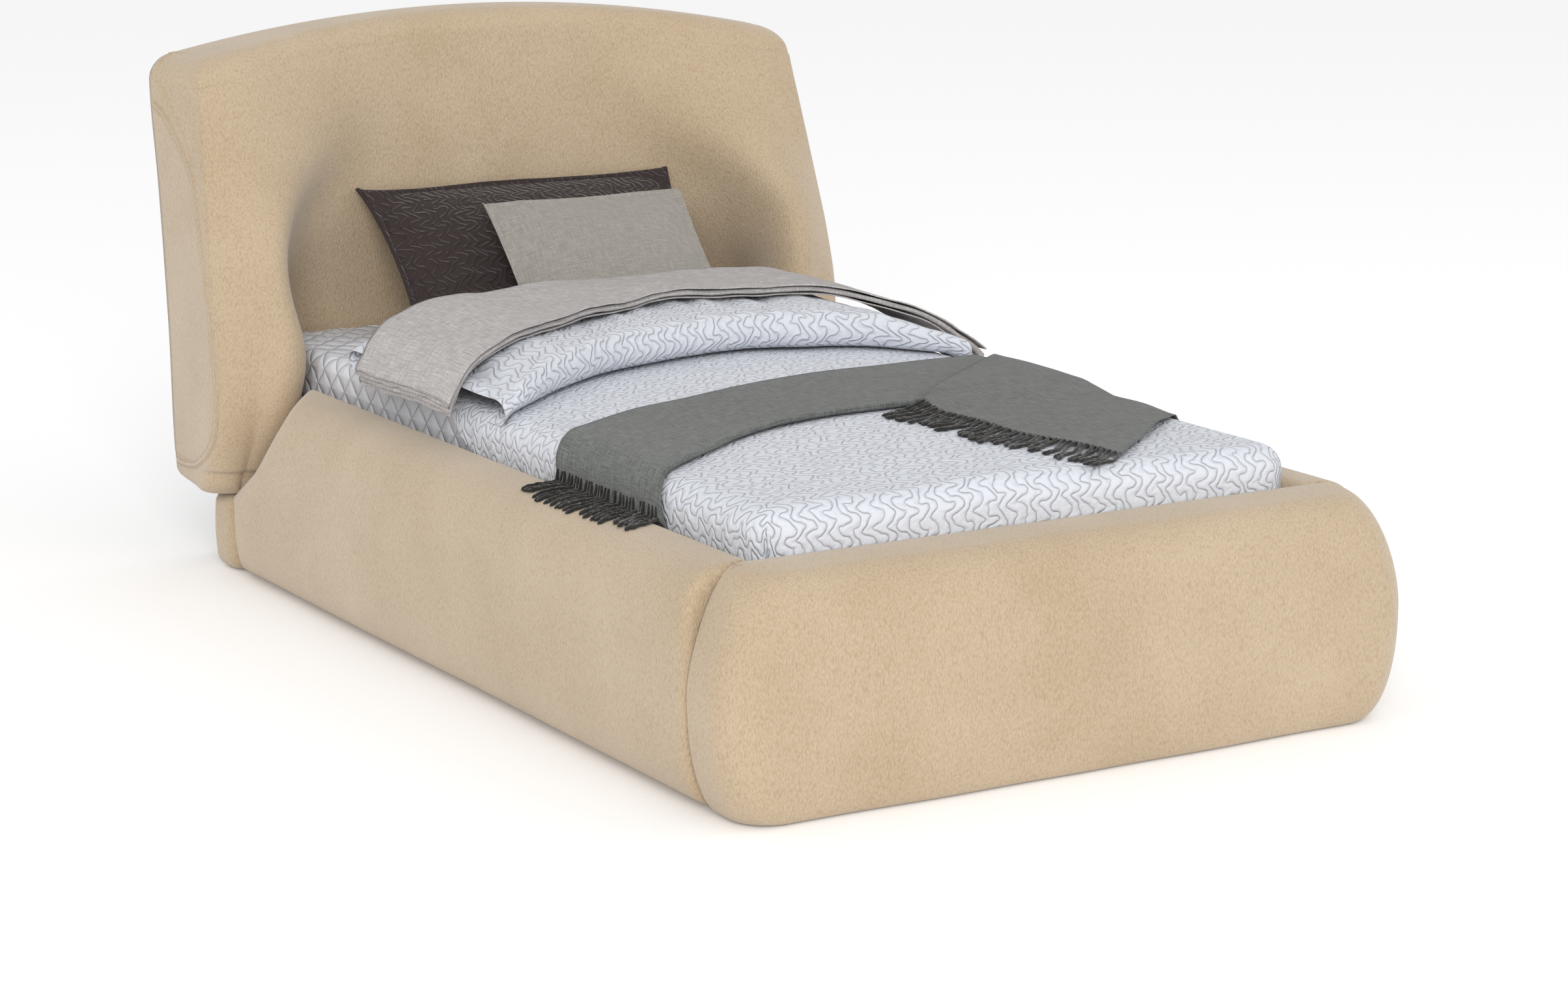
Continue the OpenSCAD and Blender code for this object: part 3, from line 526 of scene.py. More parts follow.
# ---- headboard
headboard = {
    "backY": 1.0875, "crown": 1.030, "drop": 0.175, "panel": 0.105, "low": 0.150,
    "backX": ((.150, .628), (.190, .634), (.270, .636), (.420, .636), (.760, .646),
              (.930, .655), (1.04, .655)),
    "rollX": ((.150, .592), (.200, .600), (.300, .604), (.475, .610), (.600, .602),
              (.800, .588), (.900, .580), (1.04, .572)),
    "rollFront": ((.150, .205), (.170, .226), (.200, .250), (.250, .290), (.300, .322),
                  (.400, .344), (.475, .340), (.600, .311), (.800, .266), (.900, .244),
                  (1.0, .215), (1.04, .200)),
    "bulgeX": ((.150, .560), (.300, .556), (.430, .540), (.630, .537), (.700, .527),
               (.750, .512), (.800, .490), (.900, .450), (1.04, .430)),
    "bulgeFront": ((.150, .198), (.170, .222), (.200, .255), (.250, .306), (.300, .352),
                   (.375, .392), (.430, .396), (.550, .393), (.600, .394), (.650, .385),
                   (.700, .355), (.750, .310), (.800, .262), (.850, .225), (.900, .195),
                   (.950, .175), (1.04, .155)),
    "creaseX": ((.150, .553), (.450, .553), (.560, .543), (.630, .522), (.700, .462),
                (.800, .332), (.900, .262), (1.04, .242)),
    "hollow": 0.016, "rollR": 0.055, "topR": 0.045, "bottomR": 0.026, "archFoot": 0.6,
    "relaxRounds": 330, "smoothRounds": 34,
    "cavityX": 0.586, "footCavityX": 0.516, "cavityD": 0.0655, "cavityTop": 0.9745,
    "cavityStep": 0.2042, "capCrown": 0.002, "panelThick": 0.004,
    "seam": ((.190, .0), (.1905, .06), (.205, .15), (.236, .22), (.275, .262), (.33, .285),
             (.40, .293), (.50, .282), (.60, .243), (.775, .180), (.845, .115), (.915, .045),
             (.935, .0)),
}


def eased(z, table):
    # table value at height z, averaged over a few centimetres so that no corner shows
    xs, ys = np.array(table).T
    taps = ((-0.04, 1), (-0.02, 2), (0.0, 3), (0.02, 2), (0.04, 1))
    return sum(w * np.interp(z + dz, xs, ys) for dz, w in taps) / 9.0


def wingCorners(z, h):
    # the outline's 15 corners at each height, as (half width, depth from the back): back
    # corner, side, outer roll, hollow, inner bulge, inner face, crease, middle of the front
    bx, rx, rf = eased(z, h["backX"]), eased(z, h["rollX"]), eased(z, h["rollFront"])
    ix, bf, cx = eased(z, h["bulgeX"]), eased(z, h["bulgeFront"]), eased(z, h["creaseX"])
    rr = np.minimum(h["rollR"], rf / 3)
    k = 0.707 * rr
    p = h["panel"]
    up = np.clip((z - 0.62) / 0.13, 0, 1)
    ux = ix - 0.045 - 0.025 * up
    ud = np.maximum(bf - 0.048 + 0.014 * up, p + 0.010)
    cd = np.minimum(p + 0.040, ud - 0.008)
    cd = cd + (p + 0.012 - cd) * up
    xs = (bx, bx + (rx + rr - bx) * 0.55, rx + rr, rx + k, rx,
          (rx + ix) / 2 + 0.014 * (1 - up), ix + 0.026, ix, ix - 0.030, ux,
          ux + (cx - ux) * 0.55, cx, cx - 0.045, cx * 0.6, cx * 0.25)
    ds = (0 * z, rf * 0.45, rf - rr, rf - rr + k, rf, (rf + bf) / 2 - h["hollow"],
          bf - 0.008, bf, np.maximum(bf - 0.014, p + 0.015), ud, ud + (cd - ud) * 0.55,
          cd, 0 * z + p + 0.003, 0 * z + p + 0.002, 0 * z + p + 0.004)
    return np.stack([np.stack(xs, -1), np.stack(ds, -1)], -1)


def throughCorners(corners, counts):
    # Catmull-Rom curve through each row of corners, counts points to a stretch
    first = 2 * corners[:, :1] - corners[:, 1:2]
    last = corners[:, -1:] * np.array([-1.0, 1.0])
    ring = np.concatenate([first, corners, last], 1)
    stretch = np.concatenate([np.full(n, i) for i, n in enumerate(counts)])
    t = np.concatenate([np.arange(n) / n for n in counts])[None, :, None]
    p0, p1 = ring[:, stretch], ring[:, stretch + 1]
    p2 = ring[:, stretch + 2]
    p3 = ring[:, np.minimum(stretch + 3, ring.shape[1] - 1)]
    return 0.5 * (2 * p1 + (p2 - p0) * t + (2 * p0 - 5 * p1 + 4 * p2 - p3) * t ** 2
                  + (3 * p1 - p0 - 3 * p2 + p3) * t ** 3)


def relax(grid, hold, rounds):
    # each point moves towards the mean of its neighbours along the row, hold at a time
    for _ in range(rounds):
        left = np.concatenate([grid[:, :1], grid[:, :-1]], 1)
        right = np.concatenate([grid[:, 1:], grid[:, -2:-1] * np.array([-1.0, 1.0])], 1)
        grid = grid + hold[..., None] * ((left + right) / 2 - grid)
    return grid


def arched(z, x, h):
    # height lowered by the square of the half width, in full at the crown
    return z - np.clip((z - h["archFoot"]) / (h["crown"] - h["archFoot"]), 0, 1) \
        * h["drop"] * x ** 2


def headSkin(h):
    # right half of the padded skin: rows of height, columns round the outline; the edge
    # draws in by a quarter circle at the bottom and at the top, and the rows arch with x
    low, top = h["low"], h["crown"]
    a = np.linspace(0, np.pi / 2, 9)
    zs = np.concatenate([low + h["bottomR"] * (1 - np.cos(a)),
                         np.arange(low + h["bottomR"] + 0.007, top - h["topR"], 0.0075),
                         top - h["topR"] + h["topR"] * np.sin(np.linspace(0, np.pi / 2, 11))])
    zs = np.unique(np.append(zs, [h["cavityTop"], h["cavityTop"] + 0.0005, 0.204, 0.2045]))
    counts = (7, 9, 5, 5, 8, 8, 5, 5, 6, 7, 6, 6, 10, 10)
    corners = wingCorners(zs, h)
    pts = throughCorners(corners, counts)
    tail = np.linspace(0, 1, 9)[None, :, None]
    end = corners[:, -1:]
    mid = np.concatenate([0 * end[..., :1], end[..., 1:] + 0.001], -1)
    pts = np.concatenate([pts, end + (mid - end) * tail], 1)
    column = np.arange(pts.shape[1])[None, :]
    soft = 0.05 + 0.45 * np.clip((zs - 0.46) / 0.15, 0, 1)[:, None]
    pts = relax(pts, soft * np.clip((column - 17) / 10, 0, 1),
                h["relaxRounds"])
    for _ in range(h["smoothRounds"]):
        inner = pts[1:-1] * 0.5 + (pts[2:] + pts[:-2]) * 0.25
        pts = np.concatenate([pts[:1], inner, pts[-1:]])
    rt, rb = h["topR"], h["bottomR"]
    up = np.clip(zs - (top - rt), 0, rt)
    down = np.clip(low + rb - zs, 0, rb)
    e = (rt - np.sqrt(rt ** 2 - up ** 2) + rb - np.sqrt(rb ** 2 - down ** 2))[:, None]
    x = pts[..., 0] - e * 0.9 * np.clip(pts[..., 0] / 0.3, 0, 1)
    d = np.maximum(pts[..., 1] - e * 0.95, np.minimum(pts[..., 1], 0.012))
    return zs, x, d, arched(zs[:, None], x, h)


zLevels, skinX, skinD, skinZ = headSkin(headboard)
skin = np.stack([skinX, headboard["backY"] - skinD, skinZ], -1)
sideCols = 7 + 9 + 5 + 5 + 4


def seamDepth(z):
    zs, ds = np.array(headboard["seam"]).T
    return np.where((z > zs[0]) & (z < zs[-1]), np.interp(z, zs, ds), -1.0)


def buildHead(h):
    # front skin without the side panels' places, a cap from its top rim straight back to
    # the back edge, and a back with the frame's space sunk into it
    faceD = (skinD[1:, 1:] + skinD[:-1, :-1]) / 2
    faceZ = (skinZ[1:, 1:] + skinZ[:-1, :-1]) / 2
    inPanel = faceD < seamDepth(faceZ)
    inPanel[:, sideCols:] = False
    keep = np.concatenate([~inPanel, ~inPanel[:, ::-1]], 1)
    t = np.linspace(0, 1, 8)[:, None]
    capX = skinX[-1][None, :] + 0 * t
    capZ = h["crown"] - h["drop"] * capX ** 2 + h["capCrown"] * np.sin(np.pi * t)
    cap = np.stack([capX, h["backY"] - skinD[-1][None, :] * (1 - t), capZ], -1)
    edge = skinX[:, 0]
    c = np.where(zLevels < h["cavityStep"], h["footCavityX"], h["cavityX"])
    c = np.minimum(c, edge - 0.004)
    deep = np.where(zLevels <= h["cavityTop"], h["cavityD"], 0.0)
    backX = np.stack([edge, (edge + c) / 2, c, c] + [c * f for f in (0.8, 0.6, 0.4, 0.2, 0.0)], 1)
    backD = np.stack([0 * c] * 3 + [deep] * 6, 1)
    back = np.stack([backX, h["backY"] - backD, arched(zLevels[:, None], backX, h)], -1)
    pad = makePiece("head_cover", [gridPart(wholeWidth(skin), keep=keep),
                                   gridPart(wholeWidth(cap)), gridPart(wholeWidth(back))],
                    "camelPile", "bed_frame", ["head_pad"])
    for side, sign in bothSides:
        panel = makePiece("side_cover_" + side, [gridPart(skin * (sign, 1, 1), keep=inPanel)],
                          "camelPile", "bed_frame",
                          ["head_side_panel_" + side], outward=False)
        faceOut(panel, (sign, 0, 0))
        thicken(panel, h["panelThick"], -1)


def faceOut(piece, direction):
    # turns the whole mesh over when most of it looks away from the direction
    mesh = piece.data
    normals = np.empty(len(mesh.polygons) * 3, np.float32)
    areas = np.empty(len(mesh.polygons), np.float32)
    mesh.polygons.foreach_get("normal", normals)
    mesh.polygons.foreach_get("area", areas)
    if ((normals.reshape(-1, 3) @ np.array(direction, np.float32)) * areas).sum() < 0:
        mesh.flip_normals()


def skinAt(d, z):
    # half width of the skin's outside at each depth and height, by rows of height
    rows = np.clip(np.searchsorted(zLevels, z), 1, len(zLevels) - 1)
    f = (z - zLevels[rows - 1]) / (zLevels[rows] - zLevels[rows - 1])
    lowX = np.array([np.interp(q, skinD[r - 1, :sideCols], skinX[r - 1, :sideCols])
                     for q, r in zip(d, rows)])
    highX = np.array([np.interp(q, skinD[r, :sideCols], skinX[r, :sideCols])
                      for q, r in zip(d, rows)])
    return lowX + (highX - lowX) * f


seamWelt = {
    "width": 0.0075, "height": 0.0028, "step": 0.006, "inset": 0.004, "probe": 0.004,
    "profile": ((-1.0, -0.4), (-0.92, 0.55), (-0.72, 0.78), (-0.60, 0.30), (-0.48, 0.86),
                (-0.2, 1.0), (0.2, 1.0), (0.48, 0.86), (0.60, 0.30), (0.72, 0.78),
                (0.92, 0.55), (1.0, -0.4)),
}


def buildSeams(s, h):
    # raised double seam: a strip with two sunk stitch lines carried along the seam
    zs, ds = np.array(h["seam"]).T
    run = runLength(np.array(h["seam"]))
    at = np.arange(s["inset"], run[-1] - s["inset"], s["step"])
    z, d = smoothCurve(at, run, zs, 9), smoothCurve(at, run, ds, 9)
    x, e = skinAt(d, z), s["probe"]
    ny = (skinAt(d + e, z) - skinAt(np.maximum(d - e, 0), z)) / (2 * e)
    nz = -(skinAt(d, z + e) - skinAt(d, z - e)) / (2 * e)
    path = np.stack([x, h["backY"] - d, arched(z, x, h)], -1)
    normal = unit(np.stack([np.ones_like(x), ny, nz], -1))
    across = unit(np.cross(normal, unit(np.gradient(path, axis=0))))
    u, v = np.array(s["profile"]).T
    strip = (path[:, None] + across[:, None] * (u * s["width"])[None, :, None]
             + normal[:, None] * (v * s["height"])[None, :, None])
    for side, sign in bothSides:
        welt = makePiece("side_seam_" + side, [gridPart(strip * (sign, 1, 1))], "camelPile",
                         "bed_frame", outward=False)
        faceOut(welt, (sign, 0, 0))


buildHead(headboard)
buildSeams(seamWelt, headboard)
print("headboard built")

# ---- side rails
rail = {
    "innerX": 0.505, "thick": 0.132, "low": 0.003, "high": 0.381, "edgeR": 0.025,
    "frontY": -0.9495, "rearCut": ((-0.1, .802), (.165, .802), (.206, .722),
                                   (.245, .672), (.338, .566), (.382, .520)),
    "rearY": 0.8755, "mitre": 1.45,
    "boardX": 0.5312, "boardLow": 0.0135, "boardHigh": 0.3447,
    "frontR": 0.020, "rearR": 0.022, "swell": 0.0016,
}


def railSection(r):
    # half section as (x, z): flat inner face with the board's recess, rounded inner top
    # edge, and a superellipse of power 4 for the outside
    mid, half = (r["low"] + r["high"]) / 2, (r["high"] - r["low"]) / 2
    a = np.radians(np.linspace(-87, 87, 60))
    out = np.stack([r["innerX"] + r["thick"] * np.sqrt(np.cos(a)),
                    mid + half * np.sign(a) * np.sqrt(np.abs(np.sin(a)))], -1)
    b = np.radians(np.linspace(94, 180, 9))
    e = r["edgeR"]
    top = np.stack([r["innerX"] + e + e * np.cos(b), r["high"] - e + e * np.sin(b)], -1)
    x, bx, lo, hi = r["innerX"], r["boardX"], r["boardLow"], r["boardHigh"]
    inner = [(x, hi + 0.004), (x, hi), (bx, hi)]
    inner += [(bx, z) for z in np.linspace(hi, lo, 10)[1:-1]]
    inner += [(bx, lo), (x, lo), (x, r["low"] + 0.002)]
    return np.concatenate([out, top, np.array(inner)])


def rearEnd(r, section):
    # the slanted end runs back towards the inside, in under the headboard's wing
    zs, ys = np.array(r["rearCut"]).T
    inwards = np.clip(r["innerX"] + r["thick"] - section[:, 0], 0, 0.115)
    return np.minimum(np.interp(section[:, 1], zs, ys) + r["mitre"] * inwards, r["rearY"])


def buildRails(r):
    # the section carried from front to rear, its outside uneven with the filling; at each
    # end it draws in along a quarter circle, then shrinks to its middle
    loop = railSection(r)
    centre = np.array([r["innerX"] + 0.06, (r["low"] + r["high"]) / 2])
    tangent = np.roll(loop, -1, 0) - np.roll(loop, 1, 0)
    inward = unit(np.stack([-tangent[:, 1], tangent[:, 0]], -1))
    inward *= np.sign(((centre - loop) * inward).sum(-1, keepdims=True))
    rows = [(0.0, 1.0, s) for s in (0.02, 0.35, 0.7)]
    rows += [(1 - np.cos(q), 1 - np.sin(q), 1.0) for q in np.linspace(0, np.pi / 2, 8)]
    points = []
    for k, s, shrink in rows:
        p = centre + (loop + inward * (r["frontR"] * s) - centre) * shrink
        y = np.full(len(p), r["frontY"] + r["frontR"] * k)
        points.append(np.stack([p[:, 0], y, p[:, 1]], -1))
    start = r["frontY"] + r["frontR"]
    reach = rearEnd(r, loop) - r["rearR"] - start
    outer = np.clip((loop[:, 0] - r["innerX"]) / r["thick"], 0, 1) ** 2
    for t in np.linspace(0.03, 0.97, 90):
        swell = r["swell"] * ripple(0 * outer + t * 1.8, loop[:, 1], 5, 4, 0.3, 0.8, 1.0)
        points.append(np.stack([loop[:, 0] + swell * outer, start + reach * t, loop[:, 1]], -1))
    for k, s, shrink in reversed(rows):
        p = centre + (loop + inward * (r["rearR"] * s) - centre) * shrink
        points.append(np.stack([p[:, 0], rearEnd(r, p) - r["rearR"] * k, p[:, 1]], -1))
    tube = np.stack(points)
    for side, sign in bothSides:
        pad = makePiece("rail_cover_" + side, [gridPart(tube * (sign, 1, 1), wrapCols=True)],
                        "camelPile", "bed_frame", ["rail_pad_" + side])


buildRails(rail)
print("rails built")

# ---- footboard
foot = {
    "frontY": -1.0875, "backY": -0.9505, "railX": 0.637, "low": 0.003, "high": 0.381,
    "topEnd": 0.062, "lowEnd": 0.036, "edgeEnd": 0.022, "topLean": 0.062,
    "lowLean": 0.026, "crown": 0.005, "cornerR": 0.062,
    "backR": 0.018, "boardX": 0.5405, "boardLow": 0.0155, "boardHigh": 0.3465,
    "boardD": 0.0255,
}


def buildFoot(f):
    # rows of height; each row is a plan outline: rounded back corner, side, end radius
    # and a front that bows out; the ends and the front swell like a pillow with height
    mid, half = (f["low"] + f["high"]) / 2, (f["high"] - f["low"]) / 2
    zs = mid + half * np.sin(np.radians(np.linspace(-90, 90, 61)))
    zs = np.unique(np.append(zs, [f["boardLow"], f["boardLow"] + 0.0005,
                                  f["boardHigh"] - 0.0005, f["boardHigh"]]))
    t = np.clip(np.abs(zs - mid) / half, 0, 1)
    taper = np.where(zs > mid, f["topEnd"] * t ** 1.6, f["lowEnd"] * t ** 2.4)
    taper = taper + f["edgeEnd"] * (1 - np.sqrt(np.maximum(1 - t ** 8, 0)))
    w = (f["railX"] - taper)[:, None]
    lean = np.where(zs > mid, f["topLean"], f["lowLean"])
    front = (f["frontY"] + f["crown"]
             + lean * (1 - np.sqrt(np.maximum(1 - t ** 3, 0))))[:, None]
    b, r = f["backR"], f["cornerR"]
    a1 = np.radians(np.linspace(88, 0, 7))[None, :]
    a2 = np.radians(np.linspace(0, -90, 16))[None, :]
    s = np.linspace(0, 1, 8)[None, 1:-1]
    q = np.linspace(1, 0, 40)[None, 1:]
    x = np.concatenate([w - b + b * np.cos(a1), w + 0 * s, w - r + r * np.cos(a2),
                        (w - r) * q], 1)
    sideFrom, sideTo = f["backY"] - b, front + r
    y = np.concatenate([f["backY"] - b + b * np.sin(a1) + 0 * w,
                        sideFrom + (sideTo - sideFrom) * s, front + r + r * np.sin(a2),
                        front - f["crown"] * (1 - q ** 2)], 1)
    skinPts = np.stack([x, y, zs[:, None] + 0 * x], -1)
    skinPts[..., 1] += 0.0015 * ripple(x, zs[:, None] + 0 * x, 11, 5, 0.25, 0.7, 1.0) \
        * np.clip((f["backY"] - y) / 0.06 - 0.5, 0, 1)
    full = wholeWidth(skinPts)
    rims = []
    for row, bulge in ((-1, 0.003), (0, 0.0)):
        u = np.linspace(0, 1, 6)[:, None]
        rim = full[row]
        flat = rim[None] * np.ones((6, 1, 1))
        flat[..., 1] = rim[None, :, 1] * (1 - u) + f["backY"] * u
        flat[..., 2] += bulge * np.sin(np.pi * u)
        rims.append(gridPart(flat))
    inBoard = (zs > f["boardLow"] + 0.0002) & (zs < f["boardHigh"] - 0.0002)
    depth = np.where(inBoard, f["boardD"], 0.0)
    edge = x[:, 0]
    c = np.minimum(f["boardX"], edge - 0.003)
    xs = np.stack([edge, c, c] + [c * k for k in (0.75, 0.5, 0.25, 0.0)], 1)
    ys = f["backY"] - np.stack([0 * c, 0 * c, depth] + [depth] * 4, 1)
    ys[:, 0] = y[:, 0]
    back = np.stack([xs, ys, zs[:, None] + 0 * xs], -1)
    pad = makePiece("foot_cover", [gridPart(full), gridPart(wholeWidth(back))] + rims,
                    "camelPile", "bed_frame", ["footboard_pad"])


buildFoot(foot)
print("footboard built")

# ---- plinths and mattress
plinth = {"x": 0.5625, "y": 0.9295, "wide": 0.085, "long": 0.104, "cornerR": 0.032,
          "low": 0.003, "high": 0.149, "edgeR": 0.022}
mattress = {"y": 0.019, "wide": 0.965, "long": 1.905, "cornerR": 0.060, "low": 0.2,
            "high": 0.430, "edgeR": 0.018}


def planLoop(wide, long, radius, perCorner):
    # rounded rectangle round the origin, from the middle of a corner arc onwards
    a = np.linspace(0, np.pi / 2, perCorner)
    loops = []
    for k, (sx, sy) in enumerate(((1, 1), (-1, 1), (-1, -1), (1, -1))):
        c = np.array([sx * (wide / 2 - radius), sy * (long / 2 - radius)])
        loops.append(c + radius * np.stack([np.cos(a + k * np.pi / 2),
                                            np.sin(a + k * np.pi / 2)], -1))
    loop = np.concatenate(loops)
    nextOne = np.roll(loop, -1, 0)
    steps = np.maximum(np.round(np.linalg.norm(nextOne - loop, axis=1) / 0.03), 1).astype(int)
    return np.concatenate([a0 + (b0 - a0) * np.linspace(0, 1, n, endpoint=False)[:, None]
                           for a0, b0, n in zip(loop, nextOne, steps)])


def blockPart(b, bulge, centre):
    # plan outline carried up the height; it draws in along a quarter circle at both edges,
    # bows out by bulge half way up, and shrinks to the middle over the top and bottom
    loop = planLoop(b["wide"], b["long"], b["cornerR"], 9)
    e, low, high = b["edgeR"], b["low"], b["high"]
    a = np.linspace(0, np.pi / 2, 7)
    rows = [(low, e, s) for s in (0.01, 0.4, 0.8)]
    rows += [(low + e * (1 - np.cos(q)), e * (1 - np.sin(q)), 1.0) for q in a]
    rows += [(z, 0.0, 1.0) for z in np.linspace(low + e, high - e, 14)[1:-1]]
    rows += [(high - e * (1 - np.cos(q)), e * (1 - np.sin(q)), 1.0) for q in a[::-1]]
    rows += [(high, e, s) for s in (0.8, 0.4, 0.01)]
    z = np.array([q[0] for q in rows])
    drawn = np.array([q[1] for q in rows])[:, None]
    shrink = np.array([q[2] for q in rows])[:, None]
    out = bulge * np.sin(np.pi * np.clip((z - low) / (high - low), 0, 1))[:, None]
    fx = 1 - 2 * (drawn - out) / b["wide"]
    fy = 1 - 2 * (drawn - out) / b["long"]
    x = centre[0] + loop[None, :, 0] * fx * shrink
    y = centre[1] + loop[None, :, 1] * fy * shrink
    return np.stack([x, y, z[:, None] + 0 * x], -1)


def buildBlocks(p, m):
    for side, sign in bothSides:
        part = blockPart(p, 0.004, (sign * p["x"], p["y"]))
        pad = makePiece("plinth_cover_" + side, [gridPart(part, wrapCols=True)], "camelPile",
                        "bed_frame", ["plinth_pad_" + side])
    block = blockPart(m, 0.0, (0.0, m["y"]))
    tapes = []
    for z in (m["low"] + 0.010, m["high"] - 0.010):
        loop = planLoop(m["wide"] - 0.004, m["long"] - 0.004, m["cornerR"], 9)
        path = np.concatenate([loop + [0.0, m["y"]], np.full((len(loop), 1), z)], 1)
        tapes.append(gridPart(sweepTube(path, 0.0035, 8, closed=True), wrapRows=True,
                              wrapCols=True))
    piece = makePiece("mattress_body", [gridPart(block, wrapCols=True)] + tapes, "ticking",
                      "mattress_set", ["mattress"])


buildBlocks(plinth, mattress)
print("plinths and mattress built")

# ---- bedding
bed = {"half": 0.4965, "top": 0.444, "shoulder": 0.040, "footY": -0.9475, "puff": 0.010}


def bedPuff(x, y):
    # the dressed top is a little crowned across and uneven with the filling
    u = np.clip(np.abs(x) / 0.5, 0, 1)
    return bed["puff"] * (1 - u ** 2) + ripple(x, y, 21, 7, 0.16, 0.5, 0.0016) * (1 - u ** 4)


def shoulder(s, half, r):
    # distance s along the cloth from the middle: flat, then a quarter circle of radius r,
    # then straight down; gives the place across and the drop
    a = np.abs(s)
    flat = half - r
    arc = np.clip((a - flat) / r, 0, np.pi / 2)
    down = np.maximum(a - flat - r * np.pi / 2, 0)
    return np.sign(s) * (np.minimum(a, flat) + r * np.sin(arc)), r * (1 - np.cos(arc)) + down


def sinkAtEdges(s, sink):
    # 1 over the middle of the bed; from start on, less by a share of a power of the way out
    start, run, share, power = sink
    return 1 - share * np.clip((np.abs(s) - start) / run, 0, 1) ** power


def overBed(s, y, lift):
    # a cloth lying lift above the coverlet, at distance s across from the middle
    x, drop = shoulder(s, bed["half"] + lift, bed["shoulder"] + lift)
    return np.stack([x, y + 0 * x, bed["top"] + lift - drop + bedPuff(x, y)], -1)


padCloth = {"half": 0.4865, "top": 0.434, "drop": 0.105, "cell": 0.0702, "depth": 0.004,
            "headY": 0.9755, "footY": -0.9375, "step": 0.0068, "edgeR": 0.022,
            "cornerPull": 0.0176}


def buildPad(p):
    # fitted pad: rounded over its edges, with a diamond quilting pressed between swellings
    r = p["edgeR"]
    reach = p["half"] - r + r * np.pi / 2 + p["drop"] - r
    s = np.linspace(-reach, reach, int(2 * reach / p["step"]))
    mid = (p["headY"] + p["footY"]) / 2
    lengthHalf = (p["headY"] - p["footY"]) / 2
    reachY = lengthHalf - r + r * np.pi / 2 + p["drop"] - r
    t = np.linspace(-reachY, reachY, int(2 * reachY / p["step"]))
    sGrid, tGrid = np.meshgrid(s, t)
    x, dropX = shoulder(sGrid, p["half"], r)
    y, dropY = shoulder(tGrid, lengthHalf, r)
    corner = np.minimum(np.clip((np.abs(x) - p["half"] + 0.06) / 0.06, 0, 1),
                        np.clip((np.abs(y) - lengthHalf + 0.06) / 0.06, 0, 1))
    x = x - np.sign(x) * p["cornerPull"] * corner ** 2
    y = y - np.sign(y) * p["cornerPull"] * corner ** 2
    turns = np.pi / p["cell"]
    puff = np.abs(np.sin(turns * (sGrid + tGrid)) * np.sin(turns * (sGrid - tGrid)))
    quilt = puff ** 0.45 * p["depth"]
    onTop = np.clip(1 - (dropX + dropY) / 0.02, 0, 1)
    z = p["top"] - np.maximum(dropX, dropY) + quilt * onTop - 0.001
    side = quilt * (1 - onTop) * 0.5
    x = x + np.sign(x) * side * (dropX > dropY)
    points = np.stack([x, y + mid, z], -1)
    uv = np.stack([sGrid, tGrid], -1)
    piece = makePiece("mattress_pad_cloth", [gridPart(points, uv)], "padCotton",
                      "mattress_set", ["mattress_pad"], outward=False)
    faceOut(piece, (0, 0, 1))


coverlet = {"foldX": (-0.56, -0.50, -0.40, -0.20, 0.0, 0.20, 0.36, 0.50, 0.56),
            "foldY": (-0.085, -0.055, 0.02, 0.135, 0.190, 0.205, 0.160, 0.050, 0.010),
            "draw": 0.11, "headY": 0.528, "rise": 0.072, "hem": 0.045, "step": 0.0072,
            "sideDrop": 0.080, "footDrop": 0.085, "footR": 0.045, "cornerPull": 0.020,
            "turnedBack": 0.36, "rollHalf": 0.034, "rollGap": 0.006,
            "sink": (0.36, 0.16, 0.46, 1.8)}


